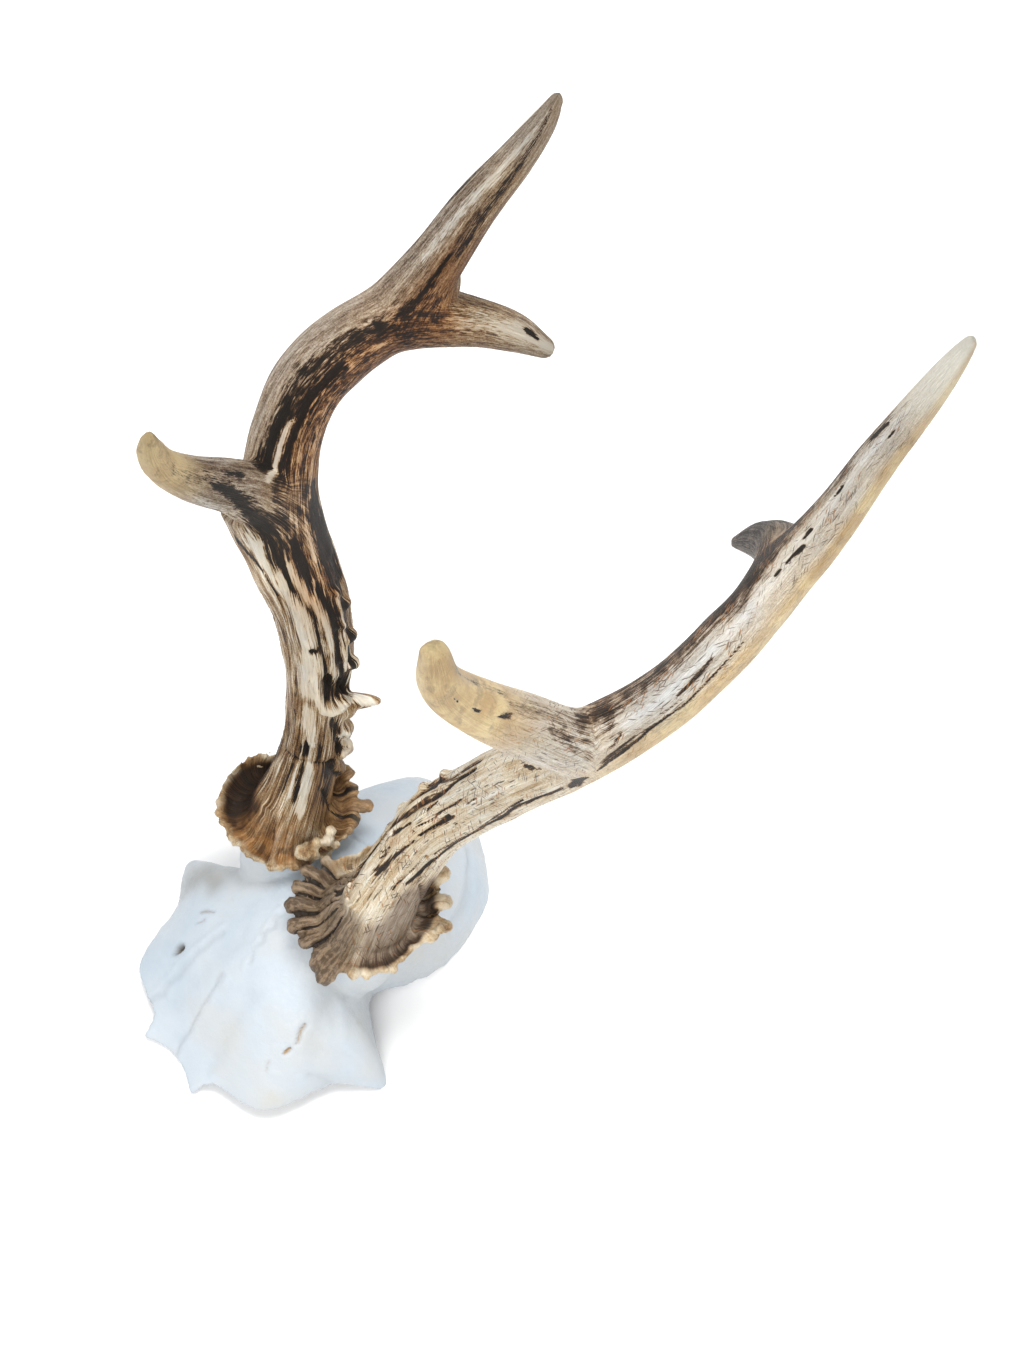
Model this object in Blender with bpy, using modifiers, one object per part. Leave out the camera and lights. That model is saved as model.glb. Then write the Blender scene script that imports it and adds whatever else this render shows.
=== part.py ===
"""Roe buck antlers on their skull cap, in metres, +Z up.

X runs to the animal's left, -Y to its nose. The cap stands on the tips of its two
eye-socket processes and on the sawn rim of the braincase, at Z = 0.

Places and sizes are first given in millimetres from a point on the skull's middle
plane between the two pedicles, and the finished parts are then moved so that the
origin is below the middle of the object, at the level it stands on.
"""
import math

import bmesh
import bpy
from mathutils import Euler, Matrix, Vector

# ---------------------------------------------------------------- driving sizes
MM = 0.001
GAP = 0.0003                      # clearance left between parts that meet
STAND_POINT = (2.3, 32.0, -20.0)  # mm, the place in the skull that becomes the origin

SPLINE_STEPS = 5                  # curve points made between two given ones
TUBE_SIDES_LEVEL = 4              # bevel resolution of an antler's tubes
VOXEL = 0.0014                    # grain of the blends where grown forms meet
BLEND_PASSES = 6                  # smoothing passes after a blend
BLEND_LOSS = 0.3                  # mm of radius that the smoothing takes off a tube
BURR_RINGS = 16                   # rings and half the spokes of a burr
ANTLER_TRIANGLES = 2600           # triangles of one whole antler before it is split
CAP_TRIANGLES = 2500              # triangles of the whole skull cap before it is split
SPLIT_DISC_RADIUS = 0.0125        # radius of the discs that split an antler at its forks
BURR_SEAT_Z = 19.5                # mm, where the burr sits on the pedicle
WORKROOM = 0.3                    # reach of the blocks that cut the parts, past any part

BONE_THICKNESS = 0.0034           # wall of the skull cap
CORONAL_Y = 16.0                  # mm, where the frontal bones meet the parietal bone
REAR_SKEW = 0.28                  # how far the rear saw cut runs askew, per mm of width
ARCH_COLUMNS = 9                  # points from the skull's middle plane to its rim
STATION_STEPS = 2                 # rows made between two given stations

# Beam, front tine and rear tine of each antler: (x, y, z, radius) in mm.
RIGHT_ANTLER = {
    "beam": [(-20.6, 5.6, 16.0, 11.0), (-20.8, 6.8, 21.0, 11.4), (-21.0, 8.6, 27.0, 10.4),
             (-21.8, 12.0, 34.0, 8.6), (-24.6, 17.5, 42.0, 7.4), (-28.0, 23.5, 54.0, 7.6),
             (-32.2, 29.0, 70.0, 9.1), (-37.0, 31.0, 87.0, 9.7), (-42.5, 31.5, 106.0, 9.4),
             (-46.5, 33.0, 120.0, 8.9), (-50.5, 38.0, 132.0, 8.7), (-52.5, 46.0, 143.0, 8.5),
             (-52.0, 57.0, 149.0, 8.6), (-49.5, 69.0, 154.0, 7.9), (-47.0, 79.0, 166.0, 6.6),
             (-45.0, 88.5, 179.0, 5.7), (-42.5, 97.5, 189.5, 4.6), (-41.2, 104.0, 197.5, 3.4),
             (-41.0, 108.3, 203.8, 1.6)],
    "front": [(-43.5, 32.5, 113.0, 7.8), (-45.5, 28.0, 124.0, 7.4), (-45.2, 20.0, 137.0, 6.5),
              (-43.2, 9.5, 152.5, 5.9), (-42.0, 1.5, 167.0, 4.9), (-41.0, -1.6, 180.5, 2.3)],
    "rear": [(-51.5, 62.0, 151.5, 7.2), (-47.5, 71.0, 153.5, 6.7), (-43.0, 78.0, 152.0, 6.1),
             (-38.0, 85.0, 149.0, 5.6), (-32.0, 90.5, 146.0, 4.7), (-25.2, 95.4, 142.4, 2.4)],
}
LEFT_ANTLER = {
    "beam": [(16.0, 2.6, 16.0, 11.0), (16.2, 4.4, 21.0, 11.4), (16.2, 6.6, 27.0, 10.6),
             (16.2, 11.0, 34.0, 9.2), (16.6, 17.0, 43.0, 8.4), (18.6, 24.6, 57.0, 8.4),
             (24.4, 31.0, 71.0, 8.6), (36.0, 37.0, 97.0, 9.0), (48.0, 42.5, 122.0, 8.6),
             (55.5, 52.5, 140.0, 7.5), (58.0, 60.5, 149.0, 7.2), (58.0, 72.0, 154.5, 7.2),
             (57.5, 84.0, 162.0, 6.7), (58.0, 94.5, 173.0, 6.0), (58.6, 102.5, 187.0, 5.4),
             (60.0, 109.0, 199.5, 4.5), (61.0, 114.0, 209.0, 3.3), (61.6, 117.2, 215.4, 1.5)],
    "front": [(46.5, 41.0, 117.0, 7.6), (46.5, 37.0, 128.0, 7.5), (43.5, 28.0, 141.5, 6.8),
              (39.2, 17.5, 159.0, 5.9), (36.2, 10.5, 174.0, 5.0), (34.4, 7.6, 186.0, 2.4)],
    "rear": [(57.8, 81.0, 160.0, 6.2), (55.8, 88.5, 161.5, 5.4), (50.8, 92.0, 155.8, 4.8),
             (44.4, 93.0, 148.0, 3.9), (38.2, 92.6, 140.6, 2.1)],
}
# Burr at the foot of each antler: middle (x, y, z) and half sizes (x, y, z) in mm, and
# its tilt in degrees about X and Y.
RIGHT_BURR = {"middle": (-22.6, 8.0, 25.0), "half": (17.6, 18.4, 6.0), "tilt": (-6.0, 10.0)}
LEFT_BURR = {"middle": (17.2, 7.0, 24.6), "half": (16.6, 22.4, 6.0), "tilt": (-6.0, -8.0)}
# Splits of an antler: which line, the row that the disc is centred on, and its share
# of the way to the next row.
SPLITS = [("front", 2, 0.0), ("beam", -9, 0.45), ("rear", 2, 0.0), ("beam", -5, -0.35)]

# Rows of the skull cap from nose to rear: (middle y, middle z, rim x, rim y, rim z,
# fullness) in mm. Fullness is how square the arch is between the middle and the rim.
STATIONS = [
    (-51.8, -18.5, 10.4, -54.8, -17.6, 1.2),
    (-44.5, -11.0, 14.8, -49.0, -15.4, 1.4),
    (-38.5, -3.5, 27.4, -44.4, -15.2, 1.5),
    (-32.3, 3.4, 32.0, -35.0, -15.0, 1.6),
    (-25.5, 8.6, 34.8, -24.8, -15.6, 1.7),
    (-18.0, 12.8, 43.2, -14.2, -21.5, 1.5),
    (-12.0, 15.0, 32.5, -8.6, -17.6, 1.8),
    (-5.0, 16.2, 24.2, -3.6, -16.5, 2.2),
    (2.0, 16.6, 22.6, 1.6, -17.0, 2.4),
    (12.0, 16.0, 25.8, 11.0, -21.5, 2.3),
    (23.0, 13.4, 27.4, 22.0, -22.0, 2.2),
    (33.0, 8.6, 26.4, 31.5, -22.0, 2.1),
    (42.0, 1.4, 23.6, 40.0, -22.0, 2.1),
    (49.5, -9.0, 20.2, 47.0, -22.0, 2.1),
    (54.6, -21.9, 13.0, 52.0, -22.0, 2.1),
]
# Pedicles: (x, y, z, radius) in mm from the skull up through the seat of the burr.
RIGHT_PEDICLE = [(-17.6, 0.5, 3.0, 12.0), (-19.0, 2.8, 11.0, 10.8), (-20.6, 6.2, 21.0, 10.4)]
LEFT_PEDICLE = [(15.4, -0.8, 3.0, 12.0), (15.8, 1.0, 11.0, 10.8), (16.2, 4.0, 21.0, 10.4)]

ANTLER_BROWN = (0.36, 0.26, 0.17, 1.0)
TINE_TAN = (0.52, 0.42, 0.28, 1.0)
BONE_WHITE = (0.80, 0.83, 0.84, 1.0)


# ---------------------------------------------------------------- scene and materials
def clear_scene():
    for obj in list(bpy.data.objects):
        bpy.data.objects.remove(obj, do_unlink=True)


def new_collection(name):
    collection = bpy.data.collections.new(name)
    bpy.context.scene.collection.children.link(collection)
    return collection


def material(name, colour, roughness):
    mat = bpy.data.materials.new(name)
    mat.use_nodes = True
    shader = mat.node_tree.nodes["Principled BSDF"]
    shader.inputs["Base Color"].default_value = colour
    shader.inputs["Roughness"].default_value = roughness
    shader.inputs["Metallic"].default_value = 0.0
    return mat


# ---------------------------------------------------------------- lines through points
def spline(rows, steps):
    """Catmull-Rom line through rows of numbers, with steps spans between two rows."""
    first = [2 * a - b for a, b in zip(rows[0], rows[1])]
    last = [2 * a - b for a, b in zip(rows[-1], rows[-2])]
    ends = [first] + [list(row) for row in rows] + [last]
    line = []
    for k in range(1, len(ends) - 2):
        before, start, stop, after = ends[k - 1:k + 3]
        for step in range(steps):
            u = step / steps
            line.append([
                0.5 * (2 * b + (c - a) * u + (2 * a - 5 * b + 4 * c - d) * u ** 2
                       + (3 * b - a - 3 * c + d) * u ** 3)
                for a, b, c, d in zip(before, start, stop, after)])
    line.append(list(rows[-1]))
    return line


def place(x, y, z):
    """A point of the skull, in mm, in the finished part's own frame, in metres."""
    return tuple((value - origin) * MM for value, origin in zip((x, y, z), STAND_POINT))


# ---------------------------------------------------------------- object helpers
def link(name, mesh, collection):
    obj = bpy.data.objects.new(name, mesh)
    collection.objects.link(obj)
    return obj


def evaluated_mesh(obj):
    """The object's mesh after its modifiers, or a curve's filled tube."""
    graph = bpy.context.evaluated_depsgraph_get()
    return bpy.data.meshes.new_from_object(obj.evaluated_get(graph))


def bake(obj):
    """Give the object its evaluated mesh and drop its modifiers."""
    mesh = evaluated_mesh(obj)
    obj.modifiers.clear()
    obj.data = mesh
    return obj


def tube(name, rows, collection):
    """A solid tube along rows of (x, y, z, radius), as a mesh with welded caps."""
    curve = bpy.data.curves.new(name, "CURVE")
    curve.dimensions = "3D"
    curve.bevel_depth = MM
    curve.bevel_resolution = TUBE_SIDES_LEVEL
    curve.use_fill_caps = True
    line = spline(rows, SPLINE_STEPS)
    path = curve.splines.new("POLY")
    path.points.add(len(line) - 1)
    for point, (x, y, z, radius) in zip(path.points, line):
        point.co = (*place(x, y, z), 1.0)
        point.radius = radius + BLEND_LOSS
    guide = link(name + "_guide", curve, collection)
    mesh = evaluated_mesh(guide)
    bpy.data.objects.remove(guide, do_unlink=True)
    bm = bmesh.new()
    bm.from_mesh(mesh)
    bmesh.ops.remove_doubles(bm, verts=bm.verts, dist=0.00001)
    bmesh.ops.recalc_face_normals(bm, faces=bm.faces)
    bm.to_mesh(mesh)
    bm.free()
    return link(name, mesh, collection)


def join_meshes(name, objects, collection):
    """One mesh that holds the faces of all the objects, which are removed."""
    bm = bmesh.new()
    for obj in objects:
        bm.from_mesh(obj.data)
    mesh = bpy.data.meshes.new(name)
    bm.to_mesh(mesh)
    bm.free()
    for obj in objects:
        bpy.data.objects.remove(obj, do_unlink=True)
    return link(name, mesh, collection)


def block(name, low, high, collection):
    """A box between two corners, in metres, for cutting."""
    mesh = bpy.data.meshes.new(name)
    bm = bmesh.new()
    bmesh.ops.create_cube(bm, size=1.0)
    for vert in bm.verts:
        vert.co = [lo + (part + 0.5) * (hi - lo) for part, lo, hi in zip(vert.co, low, high)]
    bm.to_mesh(mesh)
    bm.free()
    return as_cutter(link(name, mesh, collection))


def as_cutter(obj):
    obj.hide_render = True
    obj.display_type = "WIRE"
    return obj


def boolean(obj, other, operation):
    step = obj.modifiers.new(operation.lower(), "BOOLEAN")
    step.operation = operation
    step.solver = "EXACT"
    step.object = other
    bake(obj)


def blend(name, objects, triangles, collection):
    """Closed forms that run into each other, grown into one smooth body."""
    body = join_meshes(name, objects, collection)
    remesh = body.modifiers.new("blend", "REMESH")
    remesh.mode = "VOXEL"
    remesh.voxel_size = VOXEL
    smooth = body.modifiers.new("smooth", "SMOOTH")
    smooth.factor = 0.5
    smooth.iterations = BLEND_PASSES
    bake(body)
    thin = body.modifiers.new("thin", "DECIMATE")
    thin.ratio = triangles / (2 * len(body.data.polygons))
    thin.use_collapse_triangulate = True
    return bake(body)


# ---------------------------------------------------------------- antlers
def burr(name, shape, collection):
    """The flat collar round the foot of an antler."""
    half = Vector(shape["half"]) * MM
    tilt = Euler([math.radians(angle) for angle in (*shape["tilt"], 0.0)])
    grown = Matrix.LocRotScale(Vector(place(*shape["middle"])), tilt, half)
    mesh = bpy.data.meshes.new(name)
    bm = bmesh.new()
    bmesh.ops.create_uvsphere(bm, u_segments=2 * BURR_RINGS, v_segments=BURR_RINGS, radius=1.0)
    bmesh.ops.transform(bm, matrix=grown, verts=bm.verts)
    bm.to_mesh(mesh)
    bm.free()
    return link(name, mesh, collection)


def antler_body(name, antler, collar, collection):
    """Burr, beam and tines in one body, before it is split at its forks."""
    forms = [tube(name + "_" + line, rows, collection) for line, rows in antler.items()]
    forms.append(burr(name + "_burr", collar, collection))
    return blend(name, forms, ANTLER_TRIANGLES, collection)


def split_disc(name, rows, row, share, collection):
    """A thin disc across a line of the antler, at a share of the way past a row."""
    here = rows[row]
    there = rows[row + 1] if share >= 0 else rows[row - 1]
    centre = [a + abs(share) * (b - a) for a, b in zip(here[:3], there[:3])]
    direction = [b - a for a, b in zip(here[:3], there[:3])]
    mesh = bpy.data.meshes.new(name)
    bm = bmesh.new()
    bmesh.ops.create_cone(bm, cap_ends=True, segments=24, radius1=SPLIT_DISC_RADIUS,
                          radius2=SPLIT_DISC_RADIUS, depth=GAP)
    bm.to_mesh(mesh)
    bm.free()
    disc = as_cutter(link(name, mesh, collection))
    tilt = math.acos(direction[2] / math.dist((0, 0, 0), direction))
    turn = math.atan2(direction[1], direction[0])
    disc.rotation_euler = (0.0, tilt, turn)
    disc.location = place(*centre)
    return disc


def loose_bodies(mesh):
    """The mesh's separate bodies, each as a list of face indices."""
    bm = bmesh.new()
    bm.from_mesh(mesh)
    bm.faces.ensure_lookup_table()
    seen = set()
    bodies = []
    for face in bm.faces:
        if face.index in seen:
            continue
        stack = [face]
        seen.add(face.index)
        body = []
        while stack:
            current = stack.pop()
            body.append(current.index)
            for edge in current.edges:
                for near in edge.link_faces:
                    if near.index not in seen:
                        seen.add(near.index)
                        stack.append(near)
        bodies.append(body)
    bm.free()
    return bodies


def take_body(name, mesh, faces, collection):
    """A new object from some of a mesh's faces."""
    kept = set(faces)
    bm = bmesh.new()
    bm.from_mesh(mesh)
    dropped = [face for face in bm.faces if face.index not in kept]
    bmesh.ops.delete(bm, geom=dropped, context="FACES")
    bmesh.ops.triangulate(bm, faces=bm.faces)
    part = bpy.data.meshes.new(name)
    bm.to_mesh(part)
    bm.free()
    return link(name, part, collection)


def nearest_line_part(mesh, faces, antler):
    """Which part of the antler a body is, from the line points that it surrounds."""
    marks = {
        "lower_beam": antler["beam"][5],
        "middle_beam": antler["beam"][-7],
        "top_tine": antler["beam"][-3],
        "front_tine": antler["front"][-2],
        "rear_tine": antler["rear"][-2],
    }
    points = [mesh.vertices[v].co for face in faces for v in mesh.polygons[face].vertices]

    def reach(mark):
        spot = place(*marks[mark][:3])
        return min(math.dist(spot, point) for point in points)

    return min(marks, key=reach)


def make_antler(side, antler, collar, materials, collection, cutters):
    body = antler_body(side + "_antler", antler, collar, collection)
    seat = place(0, 0, BURR_SEAT_Z)[2]
    under = block(side + "_seat", (-WORKROOM, -WORKROOM, -WORKROOM),
                  (WORKROOM, WORKROOM, seat), cutters)
    boolean(body, under, "DIFFERENCE")
    for number, (line, row, share) in enumerate(SPLITS):
        disc = split_disc(f"{side}_split_{number}", antler[line], row, share, cutters)
        boolean(body, disc, "DIFFERENCE")
    for faces in loose_bodies(body.data):
        part = nearest_line_part(body.data, faces, antler)
        obj = take_body(f"{side}_{part}", body.data, faces, collection)
        finish(obj, materials["tine" if part.endswith("tine") else "beam"])
    bpy.data.objects.remove(body, do_unlink=True)


# ---------------------------------------------------------------- skull cap
def arch_row(station):
    """Points of one row of the cap, from the middle plane out to the rim."""
    middle_y, middle_z, rim_x, rim_y, rim_z, fullness = station
    row = []
    for column in range(ARCH_COLUMNS):
        angle = math.pi / 2 * column / (ARCH_COLUMNS - 1)
        out = math.sin(angle) ** (2 / fullness)
        down = 1 - math.cos(angle) ** (2 / fullness)
        x = rim_x * out
        y = middle_y + (rim_y - middle_y) * out ** 2
        row.append((x, y, middle_z + (rim_z - middle_z) * down))
    return row


def cap_surface(collection):
    """The cap's outer surface, open below, both halves."""
    rows = [arch_row(station) for station in spline(STATIONS, STATION_STEPS)]
    bm = bmesh.new()
    grid = [[bm.verts.new(place(*point)) for point in row] for row in rows]
    other = [[bm.verts.new(place(-x, y, z)) for x, y, z in row[1:]] for row in rows]
    for k in range(len(rows) - 1):
        for j in range(ARCH_COLUMNS - 1):
            bm.faces.new((grid[k][j], grid[k][j + 1], grid[k + 1][j + 1], grid[k + 1][j]))
            left = [grid[k][0]] + other[k]
            right = [grid[k + 1][0]] + other[k + 1]
            bm.faces.new((left[j + 1], left[j], right[j], right[j + 1]))
    skew_rear(bm)
    mesh = bpy.data.meshes.new("skull_cap")
    bm.to_mesh(mesh)
    bm.free()
    return link("skull_cap", mesh, collection)


def skew_rear(bm):
    """Turn the rear saw cut askew, more and more towards the back of the cap."""
    start = place(0, CORONAL_Y, 0)[1]
    length = (STATIONS[-1][0] - CORONAL_Y) * MM
    middle = place(0, 0, 0)[0]
    for vert in bm.verts:
        share = max(0.0, (vert.co.y - start) / length)
        vert.co.y -= REAR_SKEW * share * (vert.co.x - middle)


def make_cap(collection, cutters):
    """The whole cap: a shell with its pedicles, sawn level at the rim and at the burrs."""
    wall = cap_surface(collection)
    solidify = wall.modifiers.new("wall", "SOLIDIFY")
    solidify.thickness = BONE_THICKNESS
    solidify.offset = -1.0
    bake(wall)
    pedicles = [tube("right_pedicle", RIGHT_PEDICLE, collection),
                tube("left_pedicle", LEFT_PEDICLE, collection)]
    cap = blend("cap", [wall] + pedicles, CAP_TRIANGLES, collection)
    below = block("saw", (-WORKROOM, -WORKROOM, -WORKROOM), (WORKROOM, WORKROOM, 0.0), cutters)
    boolean(cap, below, "DIFFERENCE")
    top = place(0, 0, BURR_SEAT_Z)[2] - GAP
    over = block("burr_seats", (-WORKROOM, -WORKROOM, top), (WORKROOM, WORKROOM, WORKROOM),
                 cutters)
    boolean(cap, over, "DIFFERENCE")
    return cap


def bone_from_cap(name, cap, low, high, collection, cutters):
    """The stretch of the cap between two corners, as its own bone."""
    bone = link(name, cap.data.copy(), collection)
    window = block(name + "_window", low, high, cutters)
    boolean(bone, window, "INTERSECT")
    return bone


def make_frontal(side, cap, mat, collection, cutters):
    """One frontal bone with the pedicle that carries the antler."""
    middle, coronal = place(0, CORONAL_Y, 0)[:2]
    sides = {"left": (middle + GAP / 2, WORKROOM), "right": (-WORKROOM, middle - GAP / 2)}
    near, far = sides[side]
    low = (near, -WORKROOM, -WORKROOM)
    high = (far, coronal - GAP / 2, WORKROOM)
    finish(bone_from_cap(side + "_frontal_bone", cap, low, high, collection, cutters), mat)


def make_parietal(cap, mat, collection, cutters):
    coronal = place(0, CORONAL_Y, 0)[1]
    low = (-WORKROOM, coronal + GAP / 2, -WORKROOM)
    high = (WORKROOM, WORKROOM, WORKROOM)
    finish(bone_from_cap("parietal_bone", cap, low, high, collection, cutters), mat)


def finish(obj, mat):
    """Clean the mesh, face it outwards, and give it its material and shading."""
    bm = bmesh.new()
    bm.from_mesh(obj.data)
    bmesh.ops.remove_doubles(bm, verts=bm.verts, dist=0.000005)
    bmesh.ops.triangulate(bm, faces=bm.faces)
    bmesh.ops.dissolve_degenerate(bm, edges=bm.edges, dist=0.000002)
    bmesh.ops.recalc_face_normals(bm, faces=bm.faces)
    bm.to_mesh(obj.data)
    bm.free()
    obj.data.materials.clear()
    obj.data.materials.append(mat)
    obj.data.shade_smooth()
    obj.data.set_sharp_from_angle(angle=math.radians(40))


# ---------------------------------------------------------------- the whole object
def main():
    clear_scene()
    parts = new_collection("roe_antlers_on_skull_cap")
    cutters = new_collection("cutters")
    antler_materials = {
        "beam": material("antler_beam", ANTLER_BROWN, 0.5),
        "tine": material("antler_tine", TINE_TAN, 0.4),
    }
    bone = material("bleached_bone", BONE_WHITE, 0.55)
    make_antler("right", RIGHT_ANTLER, RIGHT_BURR, antler_materials, parts, cutters)
    make_antler("left", LEFT_ANTLER, LEFT_BURR, antler_materials, parts, cutters)
    cap = make_cap(cutters, cutters)
    make_frontal("right", cap, bone, parts, cutters)
    make_frontal("left", cap, bone, parts, cutters)
    make_parietal(cap, bone, parts, cutters)
    bpy.data.objects.remove(cap, do_unlink=True)


main()
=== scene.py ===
"""Looks of the roe antlers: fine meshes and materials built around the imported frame."""
import math

import bmesh
import bpy
import numpy as np
from mathutils import Matrix, Vector


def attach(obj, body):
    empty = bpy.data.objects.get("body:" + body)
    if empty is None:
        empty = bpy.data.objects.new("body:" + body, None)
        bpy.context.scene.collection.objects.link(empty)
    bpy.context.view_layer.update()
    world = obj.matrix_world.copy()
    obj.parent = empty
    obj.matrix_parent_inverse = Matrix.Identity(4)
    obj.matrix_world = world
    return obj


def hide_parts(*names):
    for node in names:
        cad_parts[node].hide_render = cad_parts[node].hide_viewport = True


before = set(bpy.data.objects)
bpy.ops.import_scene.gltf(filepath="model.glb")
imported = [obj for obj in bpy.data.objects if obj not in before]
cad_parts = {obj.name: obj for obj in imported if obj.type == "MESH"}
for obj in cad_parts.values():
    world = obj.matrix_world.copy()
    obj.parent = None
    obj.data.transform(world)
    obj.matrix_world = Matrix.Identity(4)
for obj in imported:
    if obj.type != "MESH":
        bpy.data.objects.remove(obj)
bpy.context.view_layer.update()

# ---------------------------------------------------------------- driving sizes
MM = 0.001
ORIGIN = np.array([2.3, 32.0, -20.0])   # mm, the place in the skull that is the origin
VOXEL = 0.00056
SMOOTH_PASSES = 4
LINE_STEPS = 14                         # points made between two given rows of a line
TUBE_SIDES = 48
BURR_SPOKES = 360
WEB = 2.6                               # mm, how widely a fork is webbed
BLEND = 2.2                             # mm, how widely the flow of two branches mixes
SEAT_Z = 19.5                           # mm, where a burr sits on its pedicle

# Lines of each antler: rows of (x, y, z, radius) in mm from the middle of the skull.
RIGHT_ANTLER = {
    "beam": [(-20.6, 5.6, 16, 10), (-20.8, 6.8, 21, 10.4), (-20.8, 8.8, 27, 9.9),
             (-21.4, 12.4, 34, 8.8), (-24, 18.2, 42, 8), (-27.6, 24, 54, 7.9),
             (-32.2, 29, 70, 8.8), (-37, 31, 87, 9.4), (-42.5, 31.5, 106, 9.1),
             (-46.5, 33, 120, 8.6), (-50.5, 38, 132, 8.3), (-52.5, 46, 143, 8.1),
             (-52, 57, 149, 8.1), (-49.3, 69, 153.9, 7.4), (-46.6, 79, 165.8, 6),
             (-44.6, 88.5, 178.8, 5), (-42.1, 97.4, 189.3, 3.9), (-40.9, 103.4, 196.6, 2.8),
             (-40.8, 106.6, 201, 1.6)],
    "front": [(-42.8, 31.5, 108, 7.6), (-44.8, 28, 121.5, 7.4), (-45, 20, 136.6, 6.1),
              (-42.9, 9.3, 152.2, 5), (-41.9, 1.9, 165, 3.8), (-41.2, -0.6, 173.6, 2.8),
              (-40.9, -0.9, 178.8, 1.5)],
    "rear": [(-51.5, 62, 151.5, 7), (-46.8, 70.4, 153, 7), (-42.4, 77.5, 151.5, 6.2),
             (-37.7, 84.7, 148.7, 5.3), (-32, 90.5, 146, 4.4), (-26.4, 94.6, 142.9, 2.5)],
    # distance along the beam, turn, radius and stand-off of each pearl
    "pearls": ((25, 136, 3.4, 2.4), (31, 130, 3.4, 2.6), (37, 128, 3.2, 2.4), (43, 124, 3.4, 2.6),
               (58, 116, 2.6, 2.4), (67, 118, 2.5, 2.2), (77, 122, 2.3, 1.7), (84, 101, 1.7, 1.2),
               (73, 93, 1.5, 1.1), (72, 39, 1.4, 0.8), (62, 88, 1.3, 0.9), (95, 124, 1.8, 0.8)),
    # a spur at the far end of the lip, the webs under the front tine and at the top fork
    "knobs": [[(-23, 28.6, 55.6, 2.8), (-19.4, 32.6, 56.2, 2), (-16.9, 35.2, 56.6, 1)],
              [(-46.6, 21.5, 126, 5), (-45.6, 23.4, 117, 5.6), (-43.2, 25.2, 107.7, 6.3),
               (-40.4, 27.4, 95, 6.9), (-36.2, 29.2, 84, 7.4)],
              [(-47.6, 68, 152.6, 7.6), (-45.6, 75.5, 157, 5), (-44.8, 80.5, 160.6, 3)]],
}
LEFT_ANTLER = {
    "beam": [(16, 2.6, 16, 10), (16.2, 4.4, 21, 10.4), (16.2, 6.6, 27, 10.2),
             (16, 11, 34, 9.3), (16.3, 17, 43, 8.7), (18.4, 24.6, 57, 8.6),
             (24.4, 31, 71, 8.5), (36, 37, 97, 8.6), (48.2, 42.5, 122.6, 7.7),
             (55.9, 52.5, 140, 6.6), (58.4, 60.5, 148.9, 6.2), (58.4, 72, 154.4, 6.2),
             (57.9, 84, 161.9, 5.8), (58.4, 94.5, 172.9, 5), (59, 102.5, 186.8, 4.2),
             (60.4, 109, 199.3, 3.5), (61.3, 113.8, 208.6, 2.6), (61.7, 116.4, 213.6, 1.6)],
    "front": [(46.8, 41, 117.5, 6.9), (46.6, 36.6, 128.2, 6.9), (43.1, 27.8, 141.7, 6.9),
              (39.1, 16.7, 158.8, 5.8), (36.5, 9.4, 173.2, 4.5), (34.7, 9, 183.4, 2.9)],
    "rear": [(57.4, 76, 157, 5.2), (55.4, 84.5, 158.6, 5.8), (51, 90.6, 155.6, 5.7),
             (44.6, 92.8, 148.4, 4.3), (38.6, 92.6, 140.8, 1.5)],
    "pearls": ((59, -80, 2, 1.5), (50, -84, 2.2, 1.3), (41, -88, 2.6, 1.5), (33, -92, 2.6, 1.4)),
    "knobs": [],
}


# ---------------------------------------------------------------- numbers
def catmull_rom(a, b, c, d, u):
    """The curve from b (u = 0) to c (u = 1), with a before it and d after it."""
    return 0.5 * (2 * b + (c - a) * u + (2 * a - 5 * b + 4 * c - d) * u ** 2
                  + (3 * b - a - 3 * c + d) * u ** 3)


def spline(rows, steps):
    """Catmull-Rom line through rows of numbers, with steps spans between two rows."""
    rows = np.asarray(rows, float)
    ends = np.vstack([2 * rows[0] - rows[1], rows, 2 * rows[-1] - rows[-2]])
    u = (np.arange(steps) / steps)[:, None]
    spans = [catmull_rom(*ends[k - 1:k + 3], u) for k in range(1, len(ends) - 2)]
    return np.vstack(spans + [rows[-1:]])


def around(values, angle):
    """Smooth closed curve through values given at equal angles, read at angle (radians)."""
    values = np.asarray(values, float)
    count = len(values)
    place = (np.asarray(angle) / (2 * math.pi) * count) % count
    k = np.floor(place).astype(int)
    return catmull_rom(*(values[(k + shift) % count] for shift in (-1, 0, 1, 2)), place - k)


def smoothstep(low, high, value):
    t = np.clip((value - low) / (high - low), 0, 1)
    return t * t * (3 - 2 * t)


def unit(vectors):
    return vectors / np.maximum(np.linalg.norm(vectors, axis=-1, keepdims=True), 1e-9)


def hashed(cells, seed):
    """A repeatable number from -1 to 1 for each whole-numbered cell."""
    mixed = (cells[:, 0] * 73856093) ^ (cells[:, 1] * 19349663) ^ (cells[:, 2] * 83492791)
    mixed = (mixed ^ (seed * 2654435761)) & 0xFFFFFFFF
    for factor, shift in ((2246822519, 15), (3266489917, 13)):
        mixed = ((mixed ^ (mixed >> shift)) * factor) & 0xFFFFFFFF
    return ((mixed ^ (mixed >> 16)) & 0xFFFF) / 32767.5 - 1.0


def noise(points, seed):
    """Smooth value noise in three dimensions, from -1 to 1."""
    cells = np.floor(points).astype(np.int64)
    u = points - cells
    u = u * u * u * (u * (u * 6 - 15) + 10)
    total = 0
    for corner in np.ndindex(2, 2, 2):
        weight = np.prod(np.where(np.array(corner), u, 1 - u), axis=1)
        total = total + weight * hashed(cells + np.array(corner), seed)
    return total


def circle(angle):
    """Points of the unit circle, as two columns."""
    return np.stack([np.cos(angle), np.sin(angle)], axis=1)


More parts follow.
